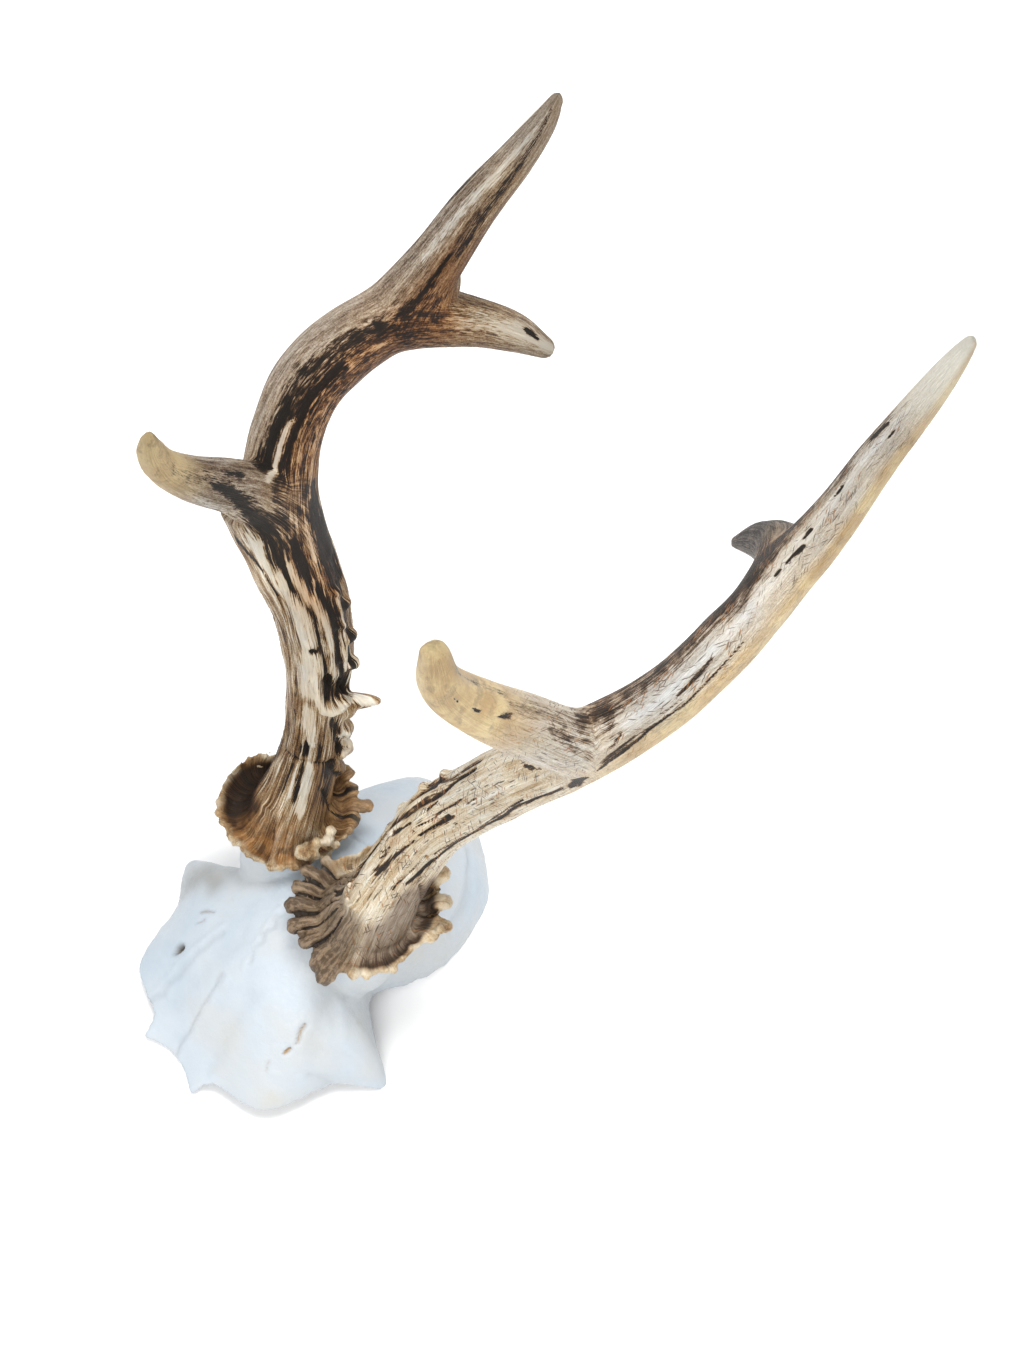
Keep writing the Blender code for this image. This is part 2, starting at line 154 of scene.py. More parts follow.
def wrapped(angle):
    """The same angle between minus and plus half a turn (radians)."""
    return (angle + math.pi) % (2 * math.pi) - math.pi


# ---------------------------------------------------------------- lines and tubes
class Line:
    """A bending centre line with a radius and a frame that turns as little as it can."""

    def __init__(self, rows, ahead, start=0.0):
        line = spline(rows, LINE_STEPS)
        self.points, self.radius = line[:, :3], line[:, 3]
        steps = np.linalg.norm(np.diff(self.points, axis=0), axis=1)
        self.along = start + np.r_[0, np.cumsum(steps)]
        self.tangent = unit(np.gradient(self.points, axis=0))
        self.side = np.zeros_like(self.points)
        current = np.asarray(ahead, float)
        for k, tangent in enumerate(self.tangent):
            current = unit(current - tangent * (current @ tangent))
            self.side[k] = current
        self.other = np.cross(self.tangent, self.side)

    def surface(self, along, turn, stand):
        """A place at a distance along and a turn in degrees, stand mm off the surface."""
        k = np.argmin(np.abs(self.along - along))
        turn = math.radians(turn)
        out = math.cos(turn) * self.side[k] + math.sin(turn) * self.other[k]
        return self.points[k] + out * (self.radius[k] + stand)

    def locate(self, points):
        """For each point: distance along, both cross coordinates, the line's radius there,
        the gap to the surface and the direction away from the line."""
        near = np.zeros(len(points), int)
        chunk = 4000                    # points at a time, to spare memory
        for first in range(0, len(points), chunk):
            gaps = points[first:first + chunk, None] - self.points[None]
            near[first:first + chunk] = np.argmin((gaps ** 2).sum(2), axis=1)
        away = points - self.points[near]
        past = (away * self.tangent[near]).sum(1)
        across = away - past[:, None] * self.tangent[near]
        return (self.along[near] + past, (across * self.side[near]).sum(1),
                (across * self.other[near]).sum(1), self.radius[near],
                np.linalg.norm(away, axis=1) - self.radius[near], unit(away))


def to_frame(points):
    """Skull places in mm to the part's own frame in metres."""
    return (np.asarray(points) - ORIGIN) * MM


def mesh_from(points, faces):
    mesh = bpy.data.meshes.new("form")
    mesh.from_pydata([tuple(p) for p in to_frame(points)], [], faces)
    return mesh


def ring_faces(rings, sides, closed):
    """Quads between neighbouring rings of equal length, as index tuples."""
    faces = []
    for k in range(rings if closed else rings - 1):
        for j in range(sides):
            a, b = k * sides + j, k * sides + (j + 1) % sides
            shift = ((k + 1) % rings - k) * sides
            faces.append((a, b, b + shift, a + shift))
    return faces


def tube_mesh(line):
    """A round tube along a line, flat at its start and closed by a dome at its end."""
    ring = circle(np.arange(TUBE_SIDES) * 2 * math.pi / TUBE_SIDES)
    rings = [line.points[k] + (ring[:, :1] * line.side[k] + ring[:, 1:] * line.other[k]) * radius
             for k, radius in enumerate(line.radius)]
    last, end_ring = line.points[-1], rings[-1]
    for turn in (30, 60, 80):
        rise, width = math.sin(math.radians(turn)), math.cos(math.radians(turn))
        centre = last + line.tangent[-1] * line.radius[-1] * rise
        rings.append(centre + (end_ring - last) * width)
    faces = ring_faces(len(rings), TUBE_SIDES, False)
    faces.append(tuple(reversed(range(TUBE_SIDES))))
    count = len(rings) * TUBE_SIDES
    faces.append(tuple(range(count - TUBE_SIDES, count)))
    return mesh_from(np.vstack(rings), faces)


# ---------------------------------------------------------------- burrs
# Lists of twelve go round the burr in steps of 30 degrees from the animal's left, through
# the back: reach of the rim from the middle and its height over the seat, the height of
# the collar at the beam (mm), and how ruffled the rim is (0 to 1).
RIGHT_BURR = {
    "middle": (-21.6, 8), "seed": 3,
    "reach": (17.2, 18.2, 17.6, 17.2, 14.5, 12, 15.8, 18.6, 18.6, 17.4, 17.6, 17.4),
    "height": (4.5, 6.5, 8, 10, 12.5, 13.5, 10.5, 7.5, 5.4, 3.8, 3.6, 4),
    "collar": (11.5, 12, 12.5, 12, 12, 11, 8, 7.5, 9.5, 13, 14, 12.5),
    "ruffle": (1, 1, 1, 0.8, 0.2, 0, 0, 0.1, 0.3, 0.7, 0.7, 0.9),
    "lobes": 17, "lobe_depth": 0.6, "flute": 0.5,
    # where the painted shade in its hollow is darkest: middle turn, half width and how much
    "dishes": ((185, 95, 1), (40, 50, 0.4)),
    "amber": (295, 62), "dusk": (54, 42),    # where it is amber or dusky: turn, half width
    # creases between the folds, darkened with painted shade: turn, half width and depth in mm
    "folds": ((60, 0.8, 0.8), (34, 0.7, 0.6), (258, 0.7, 0.6), (299, 0.7, 0.6)),
    "bare": ((128, 222),),              # turns between which the rim has no beads
    # turn, reach, height and thickness of each finger that stands out of the flare
    "fingers": ((34, 19.6, 6.6, 1.6), (47, 22.2, 7.4, 1.8), (60, 19.2, 8, 1.5),
                (76, 19.2, 8.8, 1.6), (257, 19, 4.4, 1.7), (275, 17.8, 3.8, 1.8),
                (309, 18, 3.6, 1.8), (325, 18.6, 4, 1.6)),
    # turn, reach, height and radius of each nodule
    "nodules": ((336, 15.6, 7.6, 2.5), (345, 17, 6.8, 1.6), (350, 15, 8.8, 1.5),
                (0, 16.4, 9.2, 1.7), (7, 15.4, 11, 1.3), (4, 17.4, 6.4, 1.4)),
}
LEFT_BURR = {
    "middle": (16.2, 6.6), "seed": 8,
    "reach": (14.8, 16.2, 16.6, 18, 18, 16, 16.6, 19.6, 20.4, 19.6, 18.2, 16.8),
    "height": (5.5, 7, 10.5, 9.5, 9, 9, 8, 6.6, 5, 3.8, 4, 5),
    "collar": (7, 7, 8.5, 12, 13, 14, 15, 17, 17.5, 15, 11, 8),
    "ruffle": (0.2, 0.1, 0.1, 0.8, 1, 1, 0.4, 0, 0, 0.2, 0.7, 0.5),
    "lobes": 15, "lobe_depth": 0.6, "flute": 0.5,
    "dishes": ((345, 62, 1), (45, 50, 1)), "amber": (230, 30), "dusk": (240, 68),
    "folds": ((193, 0.42, 0.9), (206.5, 0.5, 1.3), (219.5, 0.5, 1.4), (233.5, 0.6, 1.6),
              (247, 0.42, 0.6), (261, 0.55, 1.2), (42, 0.7, 1.2), (63, 0.7, 1.2)),
    "bare": ((186, 294), (345, 360), (0, 84)),
    "fingers": ((187, 20, 8.6, 2), (200, 23.2, 7.8, 2.1), (213, 23.2, 7.4, 2.5),
                (226, 24, 6.6, 2.7), (240, 23.6, 5.8, 2.8), (254, 21.8, 4.6, 2.1),
                (271, 22.8, 3.8, 2.7), (281, 23.8, 3.6, 2.7), (22, 18, 6.2, 2.2),
                (33, 20.2, 7.2, 1.6), (52, 19.6, 9.6, 2), (75, 21.2, 10.6, 2.2),
                (92, 20, 11, 1.9)),
    "nodules": ((249, 20.4, 6.2, 1.3), (300, 18.4, 3.6, 1.3), (26, 17.6, 7.6, 1.4)),
}
BURR_STEM = 7.5                         # mm, where a burr's upper side meets the beam
FINGER_STEPS = (0.12, 0.3, 0.5, 0.72, 0.9)    # shares of the flare where a finger has a row
RIM_THICK = 2.6                         # mm
FLARE_RINGS, UNDER_RINGS = 18, 8        # rings of the upper side and of the underside
BEAD_STEP = 8                           # degrees between beads on the rim


def lobe_wave(burr, angle):
    """Uneven scallops round a burr, from -1 in a notch to 1 on a lobe."""
    uneven = angle + 0.16 * np.sin(3 * angle + burr["seed"]) + 0.07 * np.sin(7 * angle)
    return np.cos(burr["lobes"] * uneven) * around(burr["ruffle"], angle)


def burr_reach(burr, angle):
    wave = lobe_wave(burr, angle)
    return around(burr["reach"], angle) + burr["lobe_depth"] * (wave - 0.2)


def burr_top(burr, angle, share):
    """Height over the seat of a burr's upper side, from its stem (0) to its rim (1)."""
    fall = around(burr["collar"], angle) * (1 - share) ** 2.8
    flute = burr["flute"] * lobe_wave(burr, angle) * share ** 1.3
    return fall + around(burr["height"], angle) * share ** 2.2 + flute + 1.6 * (1 - share)


def burr_mesh(burr):
    """The flare: rings out over its upper side, down its rim and back in underneath."""
    angle = np.arange(BURR_SPOKES) * 2 * math.pi / BURR_SPOKES
    reach, outward = burr_reach(burr, angle), circle(angle)

    def ring(share, height):
        radius = BURR_STEM + (reach - BURR_STEM) * share
        return np.c_[burr["middle"] + outward * radius[:, None], SEAT_Z + height]

    rings = [ring(share, burr_top(burr, angle, share))
             for share in np.linspace(0, 0.96, FLARE_RINGS)]
    rings += [ring(1.0, burr_top(burr, angle, 1.0) - drop * RIM_THICK) for drop in (0.3, 0.7)]
    under = around(burr["height"], angle) - RIM_THICK
    rings += [ring(share, np.maximum(under * share ** 1.6, 0))
              for share in np.linspace(0.93, 0.25, UNDER_RINGS)]
    rings.append(ring(0.0, 0 * angle))
    faces = ring_faces(len(rings), BURR_SPOKES, True)
    return mesh_from(np.vstack(rings), [tuple(reversed(face)) for face in faces])


def ball_mesh(centre, radius):
    bm = bmesh.new()
    place = Matrix.Translation(to_frame(centre))
    bmesh.ops.create_icosphere(bm, subdivisions=2, radius=radius * MM, matrix=place)
    mesh = bpy.data.meshes.new("ball")
    bm.to_mesh(mesh)
    bm.free()
    return mesh


def rim_place(burr, turn, reach, height):
    turn = math.radians(turn)
    return (burr["middle"][0] + reach * math.cos(turn),
            burr["middle"][1] + reach * math.sin(turn), SEAT_Z + height)


def finger_mesh(burr, turn, reach, height, thick):
    """A finger that grows thicker along the flare and ends just past its rim."""
    angle = math.radians(turn)
    rows = []
    for share in FINGER_STEPS:
        out = BURR_STEM + (burr_reach(burr, angle) - BURR_STEM) * share
        rise = float(burr_top(burr, angle, share)) - 0.3 * thick
        rows.append((*rim_place(burr, turn, min(out, reach - 2.2 * thick + share), rise),
                     thick * min(1.0, 0.4 + 2 * share)))
    rows.append((*rim_place(burr, turn, reach - thick, height - 0.9 * thick), 0.95 * thick))
    return tube_mesh(Line(rows, ANY_SIDE))


def burr_forms(burr):
    """The flare of a burr with its fingers, nodules and the beads along its rim."""
    forms = [burr_mesh(burr)] + [finger_mesh(burr, *finger) for finger in burr["fingers"]]
    forms += [ball_mesh(rim_place(burr, *place), radius) for *place, radius in burr["nodules"]]
    chance = np.random.default_rng(burr["seed"])
    for turn in np.arange(0, 360, BEAD_STEP):
        if any(low < turn < high for low, high in burr["bare"]):
            continue
        angle = math.radians(turn + chance.uniform(-4, 4))
        reach = burr_reach(burr, angle) - chance.uniform(-0.2, 1.2)
        height = around(burr["height"], angle) - chance.uniform(0.3, 2.2)
        centre = rim_place(burr, math.degrees(angle), reach, height)
        forms.append(ball_mesh(centre, chance.uniform(0.6, 1.3)))
    return forms


# ---------------------------------------------------------------- antlers
NOSE = (0, -1, 0)                       # where turn 0 of a beam or pedicle faces
ANY_SIDE = (0.1, 0.2, 1)                # turn 0 of small tubes, whose turn doesn't matter


def link(name, data):
    obj = bpy.data.objects.new(name, data)
    bpy.context.scene.collection.objects.link(obj)
    return obj


def grow_together(name, meshes, voxel):
    """One smooth body from closed forms that run into each other."""
    bm = bmesh.new()
    for mesh in meshes:
        bm.from_mesh(mesh)
        bpy.data.meshes.remove(mesh)
    joined = bpy.data.meshes.new(name)
    bm.to_mesh(joined)
    bm.free()
    obj = link(name, joined)
    remesh = obj.modifiers.new("grow", "REMESH")
    remesh.mode = "VOXEL"
    remesh.voxel_size = voxel
    smooth = obj.modifiers.new("smooth", "SMOOTH")
    smooth.factor = 0.5
    smooth.iterations = SMOOTH_PASSES
    graph = bpy.context.evaluated_depsgraph_get()
    mesh = bpy.data.meshes.new_from_object(obj.evaluated_get(graph))
    obj.modifiers.clear()
    obj.data = mesh
    return obj


def surface_of(mesh):
    """The places (in mm) and the normals of a mesh's vertices."""
    found = []
    for data, key in ((mesh.vertices, "co"), (mesh.vertex_normals, "vector")):
        values = np.empty(len(data) * 3, np.float32)
        data.foreach_get(key, values)
        found.append(values.reshape(-1, 3).astype(float))
    return found[0] / MM + ORIGIN, found[1]


def set_places(mesh, points):
    mesh.vertices.foreach_set("co", to_frame(points).astype(np.float32).ravel())
    mesh.update()


def relaxed(mesh, points, share, rounds):
    """Points drawn towards the middle of their neighbours, as much as share says."""
    edges = np.empty(len(mesh.edges) * 2, np.int32)
    mesh.edges.foreach_get("vertices", edges)
    a, b = edges.reshape(-1, 2).T
    count = np.bincount(np.r_[a, b], minlength=len(points))[:, None]
    for _ in range(rounds):
        total = np.stack([np.bincount(np.r_[a, b], np.r_[points[b, k], points[a, k]],
                                      len(points)) for k in range(3)], axis=1)
        points = points + (total / count - points) * share[:, None]
    return points


def store(mesh, name, values):
    kind, key = ("FLOAT", "value") if values.ndim == 1 else ("FLOAT_VECTOR", "vector")
    layer = mesh.attributes.new(name, kind, "POINT")
    layer.data.foreach_set(key, values.astype(np.float32).ravel())


def flow(lines, points):
    """For each line the distance along and the turn, its share and the gap to its surface;
    and how much web lies at a point between two lines."""
    found = [line.locate(points) for line in lines.values()]
    gap = np.array([f[4] for f in found])
    past = gap - gap.min(0)
    weight = np.exp(-past / BLEND)
    weight /= weight.sum(0)
    out = np.array([f[5] for f in found])
    nearest = np.take_along_axis(out, gap.argmin(0)[None, :, None], axis=0)
    facing = smoothstep(0.15, 0.9, 1 - (out * nearest).sum(2))
    web = np.log(1 + (np.exp(-past / WEB) * facing).sum(0)) * WEB
    places = {name: (f[0], np.arctan2(f[2], f[1])) for name, f in zip(lines, found)}
    return places, dict(zip(lines, weight)), dict(zip(lines, gap)), web


def make_antler(name, antler, burr):
    """The grown body of one antler and the lines of its beam and tines."""
    beam = Line(antler["beam"], NOSE)
    lines = {"beam": beam}
    for tine in ("front", "rear"):
        root = np.asarray(antler[tine][0][:3], float)
        near = np.argmin(((beam.points - root) ** 2).sum(1))
        lines[tine] = Line(antler[tine], beam.side[near], beam.along[near])
    forms = [tube_mesh(line) for line in lines.values()] + burr_forms(burr)
    forms += [tube_mesh(Line(rows, ANY_SIDE)) for rows in antler["knobs"]]
    forms += [ball_mesh(beam.surface(along, turn, stand - radius), radius)
              for along, turn, radius, stand in antler["pearls"]]
    return grow_together(name, forms, VOXEL), lines


right_antler, right_lines = make_antler("antler_right", RIGHT_ANTLER, RIGHT_BURR)
left_antler, left_lines = make_antler("antler_left", LEFT_ANTLER, LEFT_BURR)


# ---------------------------------------------------------------- relief and marks
# A stroke is (((along mm, turn degrees, half width mm), ...), height mm, tone), and then the
# branch if it isn't the beam: a soft line on an antler, laid along its surface. Turn 0 faces
# the animal's nose and 90 its left. Height lifts or sinks the surface. A tone above 0 is
# dark and one below 0 is pale.
RIGHT_STROKES = [
    # red-brown ground of the inner side, gold streaks over it
    (((96, 72, 3.4), (104, 72, 5), (112, 72, 6), (122, 76, 6), (132, 76, 6.5), (144, 76, 7),
      (156, 70, 7.5), (168, 76, 7.5), (178, 86, 5)), -0.1, 0.56),
    (((118, 100, 2), (108, 108, 3), (96, 108, 2.8), (86, 102, 1.8)), -0.3, 0.95),
    (((164, 40, 5), (176, 20, 5), (186, 0, 3)), 0, 0.45, "rear"),
    (((136, 62, 0.7), (123, 66, 0.8), (112, 84, 0.7), (98, 88, 0.6)), 0.2, -0.5),
    (((142, 84, 0.6), (128, 94, 0.7), (114, 100, 0.6)), 0.2, -0.5),
    (((164, 66, 0.6), (150, 62, 0.7), (140, 64, 0.6)), 0.2, -0.4),
    # the black wedge at the front fork, running out into a furrow of the beam
    (((152, 104, 1), (145, 98, 2.2), (137, 74, 3.2), (129, 54, 3.6), (122, 40, 3.2)), -0.3, 1,
      "front"),
    (((121, 24, 3), (115, 28, 3), (108, 28, 2.6), (101, 30, 2.1), (96, 33, 1.2)), -0.5, 1),
    (((97, 32, 1.2), (92, 36, 1.1), (88, 43, 0.9), (81, 51, 0.9), (73, 58, 1), (65, 58, 1.1),
      (54, 64, 1.4)), -0.9, 1.1),
    (((106, 56, 0.7), (102, 60, 1), (94, 67, 1.5), (84, 79, 1.6), (76, 86, 1.4), (63, 85, 1.4),
      (52, 97, 1.5)), -1, 1.1),
    # black far edge
    (((118, 118, 1.8), (110, 126, 2.6), (100, 130, 3), (88, 128, 2.6), (80, 114, 1.5),
      (68, 111, 1.3), (58, 108, 1.3), (50, 116, 1.5)), -0.6, 1),
    # ridges between the furrows
    (((92, 74, 0.4), (84, 66, 0.5), (75, 69, 0.6), (61, 73, 0.6), (54, 77, 0.6)), 0.7, -0.9),
    (((82, 98, 0.5), (70, 98, 0.6), (60, 98, 0.6), (53, 107, 0.6)), 0.7, -0.8),
    # cream ridge down the front with a thin black line outside it
    (((158, 66, 2), (149, 52, 2.4), (138, 34, 2.2), (128, 18, 1.6)), 0.2, -0.55, "front"),
    (((115, 7, 1.2), (109, 11, 1.1), (103, 15, 1), (97, 21, 1), (92, 27, 1.1)), 0.4, -1),
    (((117, -5, 0.45), (110, -4, 0.5), (104, 1, 0.55), (98, 8, 0.55), (93, 13, 0.5), (88, 13, 0.4)),
      -0.3, 1.1),
    (((82, 4, 0.5), (72, 0, 0.6), (60, 2, 0.6), (50, 0, 0.5)), -0.3, 0.6),
    # polished white patches
    (((93, 23, 1), (88, 30, 1.7), (80, 38, 2), (72, 36, 2.4), (62, 32, 3), (53, 28, 2.8)), 0.35,
      -1.1),
    (((98, 45, 0.7), (90, 54, 1), (82, 62, 1), (77, 67, 0.7)), 0.2, -0.9),
    (((46, 30, 1.8), (42, 33, 2.3), (37, 40, 1.6)), 0.2, -1),
    # a nick under the nodule and pits above the lip, sunk and darkened with painted shade
    (((70.5, 40, 0.6), (68.5, 47, 0.6)), -0.8, 1.1),
    (((57, 62, 1.7), (53, 66, 2.8), (51, 67, 2.4)), -2.2, 1.3),
    (((55, 99, 1.7), (51, 101, 2.6)), -2.2, 1.3),
    # the wavy lip
    (((60, 34, 0.6), (57, 37, 0.75), (52, 44, 0.85), (47.8, 57, 0.95), (46.4, 72, 0.95),
      (46.8, 86, 0.9), (48.2, 98, 0.85), (47.2, 118, 1)), 2.3, -1.2),
    # below the lip
    (((43, 80, 1.7), (40, 88, 2.1), (36, 102, 1.8)), -0.7, 0.9),
    (((47, 20, 0.5), (41, 17, 0.5)), -0.3, 0.7),
    (((44, 0, 0.6), (35, -4, 0.6)), -0.3, 0.7),
    (((36, 60, 0.6), (31, 62, 0.5)), -0.3, 0.8),
    # two more pits, sunk and darkened with painted shade
    (((34.5, 31, 1.1), (32, 33, 1.2)), -2, 1.3),
    (((33.5, 108, 1.3), (31, 112, 1.4)), -2.2, 1.3),
    (((37.5, 100, 0.6), (35, 124, 0.7), (31, 127, 0.7), (28.6, 112, 0.7), (29.6, 96, 0.6)), 0.9,
      -1.1),
    (((30, -10, 0.6), (29.5, 40, 0.6), (29.4, 96, 0.6)), -0.6, 0.5),
    (((28.2, 35, 0.7), (24, 35, 1.1), (18, 38, 0.9)), -0.6, 1.1),
    (((28.4, 47, 1.2), (24, 48, 1.5), (17, 51, 1.5)), 0.2, -1.1),
    (((28, 84, 1.8), (23, 92, 2.3), (18, 96, 1.8)), -0.4, 0.9),
    (((27, 13, 0.6), (20, 12, 0.8)), -0.3, 0.7),
    (((28, 24, 0.5), (19, 26, 0.6)), 0.2, -0.7),
    # upper beam: two black bands with a pale streak between
    (((170, 100, 4), (158, 112, 5), (148, 124, 5)), 0, 0.43, "front"),
    (((147, 142, 1), (140, 138, 1.7)), -0.2, 0.9, "front"),
    (((134, 22, 2), (141, 22, 2.6), (147, 24, 2.8), (154, 27, 2.6), (164, 40, 2)), -0.4, 0.66),
    (((121, 20, 1.2), (126, 20, 2.2), (131, 21, 1.7), (138, 22, 1.1)), -0.3, 0.95),
    (((124, 45, 1), (132, 46, 1.3), (140, 51, 1.5), (150, 55, 1.4)), -0.3, 0.9),
    (((123, 31, 0.5), (129, 34, 0.7), (135, 37, 0.6)), 0.3, -1),
    # top tine and rear tine
    (((170, 50, 1), (180, 53, 1.2), (189, 54, 0.8)), -0.4, 0.8),
    (((190, 72, 1.8), (203, 66, 2.2), (214, 58, 2), (226, 40, 1.2)), -0.1, 0.74),
    (((178, -60, 2), (196, -46, 2), (212, -40, 1.8), (226, -30, 1.2)), 0, 0.42),
    (((168, 100, 3), (180, 96, 2.6), (192, 90, 1.6)), 0, 0.45, "rear"),
    # a pale streak of painted sheen along the top tine
    (((184, 12, 1.8), (206, 22, 2.3), (224, 28, 1.3)), 0, -0.72),
    (((206, -30, 0.9), (196, -34, 1)), 0, 0.5),
    (((180, 40, 5), (203, 24, 6)), 0, -0.62, "rear"),
    (((203, 24, 5), (194, 34, 4)), 0, -0.8, "rear"),
    (((196.8, 14, 1), (197.8, 18, 1.1)), -0.2, 2, "rear"),
]
LEFT_STROKES = [
    # slots and furrows of the lower beam
    (((39, -31, 0.6), (42, -26, 0.55), (48, -15, 0.3)), -0.8, 1.2),
    (((54, -17, 0.45), (60, -22, 0.4)), -0.6, 1.2),
    (((26, -11, 0.9), (33, -1, 1), (39, 7, 0.6), (45, 12, 0.4)), -0.7, 0.85),
    (((48, 11, 0.5), (57, 11, 0.65), (64, 7, 0.5)), -0.8, 1.2),
    (((50, -6, 0.25), (58, -4, 0.3), (66, -5, 0.3), (72, -11, 0.25)), -0.3, 1),
    (((38, -46, 0.8), (46, -38, 1), (57, -34, 1), (67, -41, 0.9), (81, -43, 0.5)), -1.2, 1.2),
    (((12, -40, 0.8), (23, -56, 1.2), (35, -54, 1), (44, -62, 1), (58, -60, 0.9)), -1, 0.95),
    (((84, -56, 0.6), (66, -58, 0.8), (52, -74, 0.9)), -0.6, 0.8),
    (((30, 48, 0.5), (39, 58, 0.6), (46, 68, 0.7), (55, 61, 0.6), (67, 60, 0.5), (81, 50, 0.5),
      (94, 46, 0.5), (111, 48, 0.5)), -0.5, 1.1),
    (((44, 55, 0.3), (55, 53, 0.35), (67, 53, 0.35), (81, 43, 0.35), (96, 38, 0.3)), -0.3, 0.9),
    (((26, 34, 0.35), (36, 40, 0.4), (44, 46, 0.35)), -0.3, 0.8),
    (((114, 62, 1.6), (119, 50, 1.6)), -0.5, 1.1),
    (((31, -20, 0.3), (34, -15, 0.35)), -0.2, 1),
    (((33, -24, 0.3), (36.5, -18, 0.3)), -0.2, 0.9),
    (((44, 4, 0.3), (47, -4, 0.3)), -0.2, 0.8),
    (((74, 2, 0.3), (79, -2, 0.3)), -0.2, 0.9),
    (((60, 26, 0.35), (64, 20, 0.3)), -0.2, 0.8),
    (((106, -14, 0.4), (110, -8, 0.4)), -0.1, 0.9),
    (((108, -6, 0.4), (112, 0, 0.35)), -0.1, 0.8),
    # ridges beside the furrows
    (((14, -8, 1.4), (26, -34, 1.4), (38, -39, 1.2), (58, -44, 1.2)), 0.5, -0.4),
    (((12, -100, 5), (24, -92, 3.6), (36, -88, 2.4)), 0, 0.55),
    # front tine
    (((162, 146, 2.4), (150, 160, 3.2), (140, 166, 3.6), (132, 166, 3.6)), 0, 0.4, "front"),
    (((190, 150, 2.4), (176, 162, 2.4), (164, 166, 2.2)), 0, 0.52, "front"),
    (((158, 128, 3.4), (148, 130, 4.2), (138, 128, 4.6), (128, 122, 4)), 0, 0.24, "front"),
    (((120, 4, 3), (128, -4, 3.4), (136, -12, 2.8)), 0, 0.24),
    (((181.5, 94, 0.5), (179.5, 96, 0.5)), -0.1, 1, "front"),
    (((175, 106, 0.7), (172.5, 110, 0.6)), -0.1, 1, "front"),
    (((166, 118, 0.6), (161, 124, 0.7)), -0.1, 0.8, "front"),
    (((146, 128, 2), (138, 120, 2.6)), 0, 0.42, "front"),
    # upper beam: dark upper edge, a white band of painted sheen, brown lines below it, spots
    (((122, -56, 1), (133, -38, 2.4), (145, -30, 3.8), (160, -34, 3.8), (178, -38, 3.4),
      (192, -42, 3.2), (206, -42, 3.2), (216, -42, 2.6), (228, -42, 1.4)), 0, 0.45),
    (((120, -84, 1.2), (131, -76, 3), (142, -66, 4.4), (155, -66, 4.6), (170, -70, 4.6),
      (186, -72, 3.4), (205, -68, 2.2), (224, -60, 1.4)), 0, 0.6),
    (((138, 2, 2), (154, 4, 2.4), (166, -2, 2.4), (183, -6, 2.3), (200, -12, 2.2), (214, -18, 2),
      (229, -22, 1.6)), 0, -0.7),
    (((124, 44, 0.5), (134, 38, 0.45), (142, 35, 0.4), (152, 38, 0.35), (166, 33, 0.3)), -0.15,
      0.9),
    (((128, 34, 0.4), (138, 29, 0.35), (147, 33, 0.3)), -0.1, 0.8),
    (((150, 16, 0.5), (155, 14, 0.7), (160, 10, 0.5)), -0.1, 0.8),
    (((145, 20, 0.3), (150, 27, 0.3)), -0.1, 0.8),
    (((133, 22, 0.3), (137, 12, 0.3)), -0.1, 0.8),
    (((186, -5, 0.5), (191, -2, 0.8)), -0.2, 1.3),
    (((192, -15, 0.6), (194.5, -13, 0.6)), -0.2, 1.3),
    (((204, -23, 0.6), (206, -22, 0.6)), -0.1, 1.2),
    (((218, -45, 1.1), (222, -40, 0.8)), -0.1, 1.1),
    (((221, -8, 0.5), (223, -7, 0.5)), -0.1, 1),
    (((181, -7, 0.45), (183, -6, 0.45)), 0, 1.1),
    (((166, -60, 22), (200, -60, 22)), 0, 0.61, "rear"),
]
STROKE_RADIUS = 8.0                     # mm, turns become widths at this radius
RAGGED = 1.6                            # mm, how far the ends of a stroke fray along it
WANDER = 0.07                           # radians, how far a stroke wavers round its branch
STROKE_GAP = (8.5, 4.5)                 # mm off its branch, where a stroke stops and is whole
TURN_SCALE = 8.5                        # mm, radius of the circle the streaks are read on
BURR_FADES = (48, 38)                   # mm, heights between which a beam turns into its burr
FOLD_REACH = 18.0                       # mm from a burr's middle, where a fold is as wide as given
FORK_ROUNDS = 14                        # rounds of smoothing where branches meet


def stroke_cover(away_from, nodes):
    """How much of a stroke covers each point, from 0 to 1, fading out at both its ends.
    Nodes are (u, v, half width), and away_from gives the points' offsets from a node."""
    best = 0
    for (u0, v0, w0), (u1, v1, w1) in zip(nodes[:-1], nodes[1:]):
        away = away_from(u0, v0)
        span = np.array([u1 - u0, v1 - v0])
        share = np.clip(away @ span / (span @ span), 0, 1)
        gap2 = ((away - share[:, None] * span) ** 2).sum(1)
        best = np.maximum(best, np.exp(-gap2 / (w0 + (w1 - w0) * share) ** 2))
    return best


def sector(bearing, turn, wide, solid):
    """1 near a turn (degrees), fading out between solid times the half width and all of it."""
    gap = np.abs(np.degrees(wrapped(bearing - math.radians(turn))))
    return smoothstep(wide, solid * wide, gap)


def burr_rim(points, normals, burr, share):
    """Where the pale, beaded rim and the nodules of a burr lie."""
    under = smoothstep(-0.15, -0.6, normals[:, 2]) * smoothstep(32, 26, points[:, 2])
    rim = np.maximum(smoothstep(0.88, 1.02, share), under * smoothstep(0.6, 0.8, share))
    rim *= smoothstep(*BURR_FADES, points[:, 2])
    for *place, radius in burr["nodules"]:
        gap = np.linalg.norm(points - rim_place(burr, *place), axis=1) / (1.3 * radius)
        rim = np.maximum(rim, 1.2 * np.exp(-gap ** 4))
    return rim


def lumps(place, length, turns, seed):
    """Noise on one branch: lumps of a length in mm, and finer round it with more turns."""
    along, turn = place
    return noise(np.c_[along / length, circle(turn) * turns], seed)


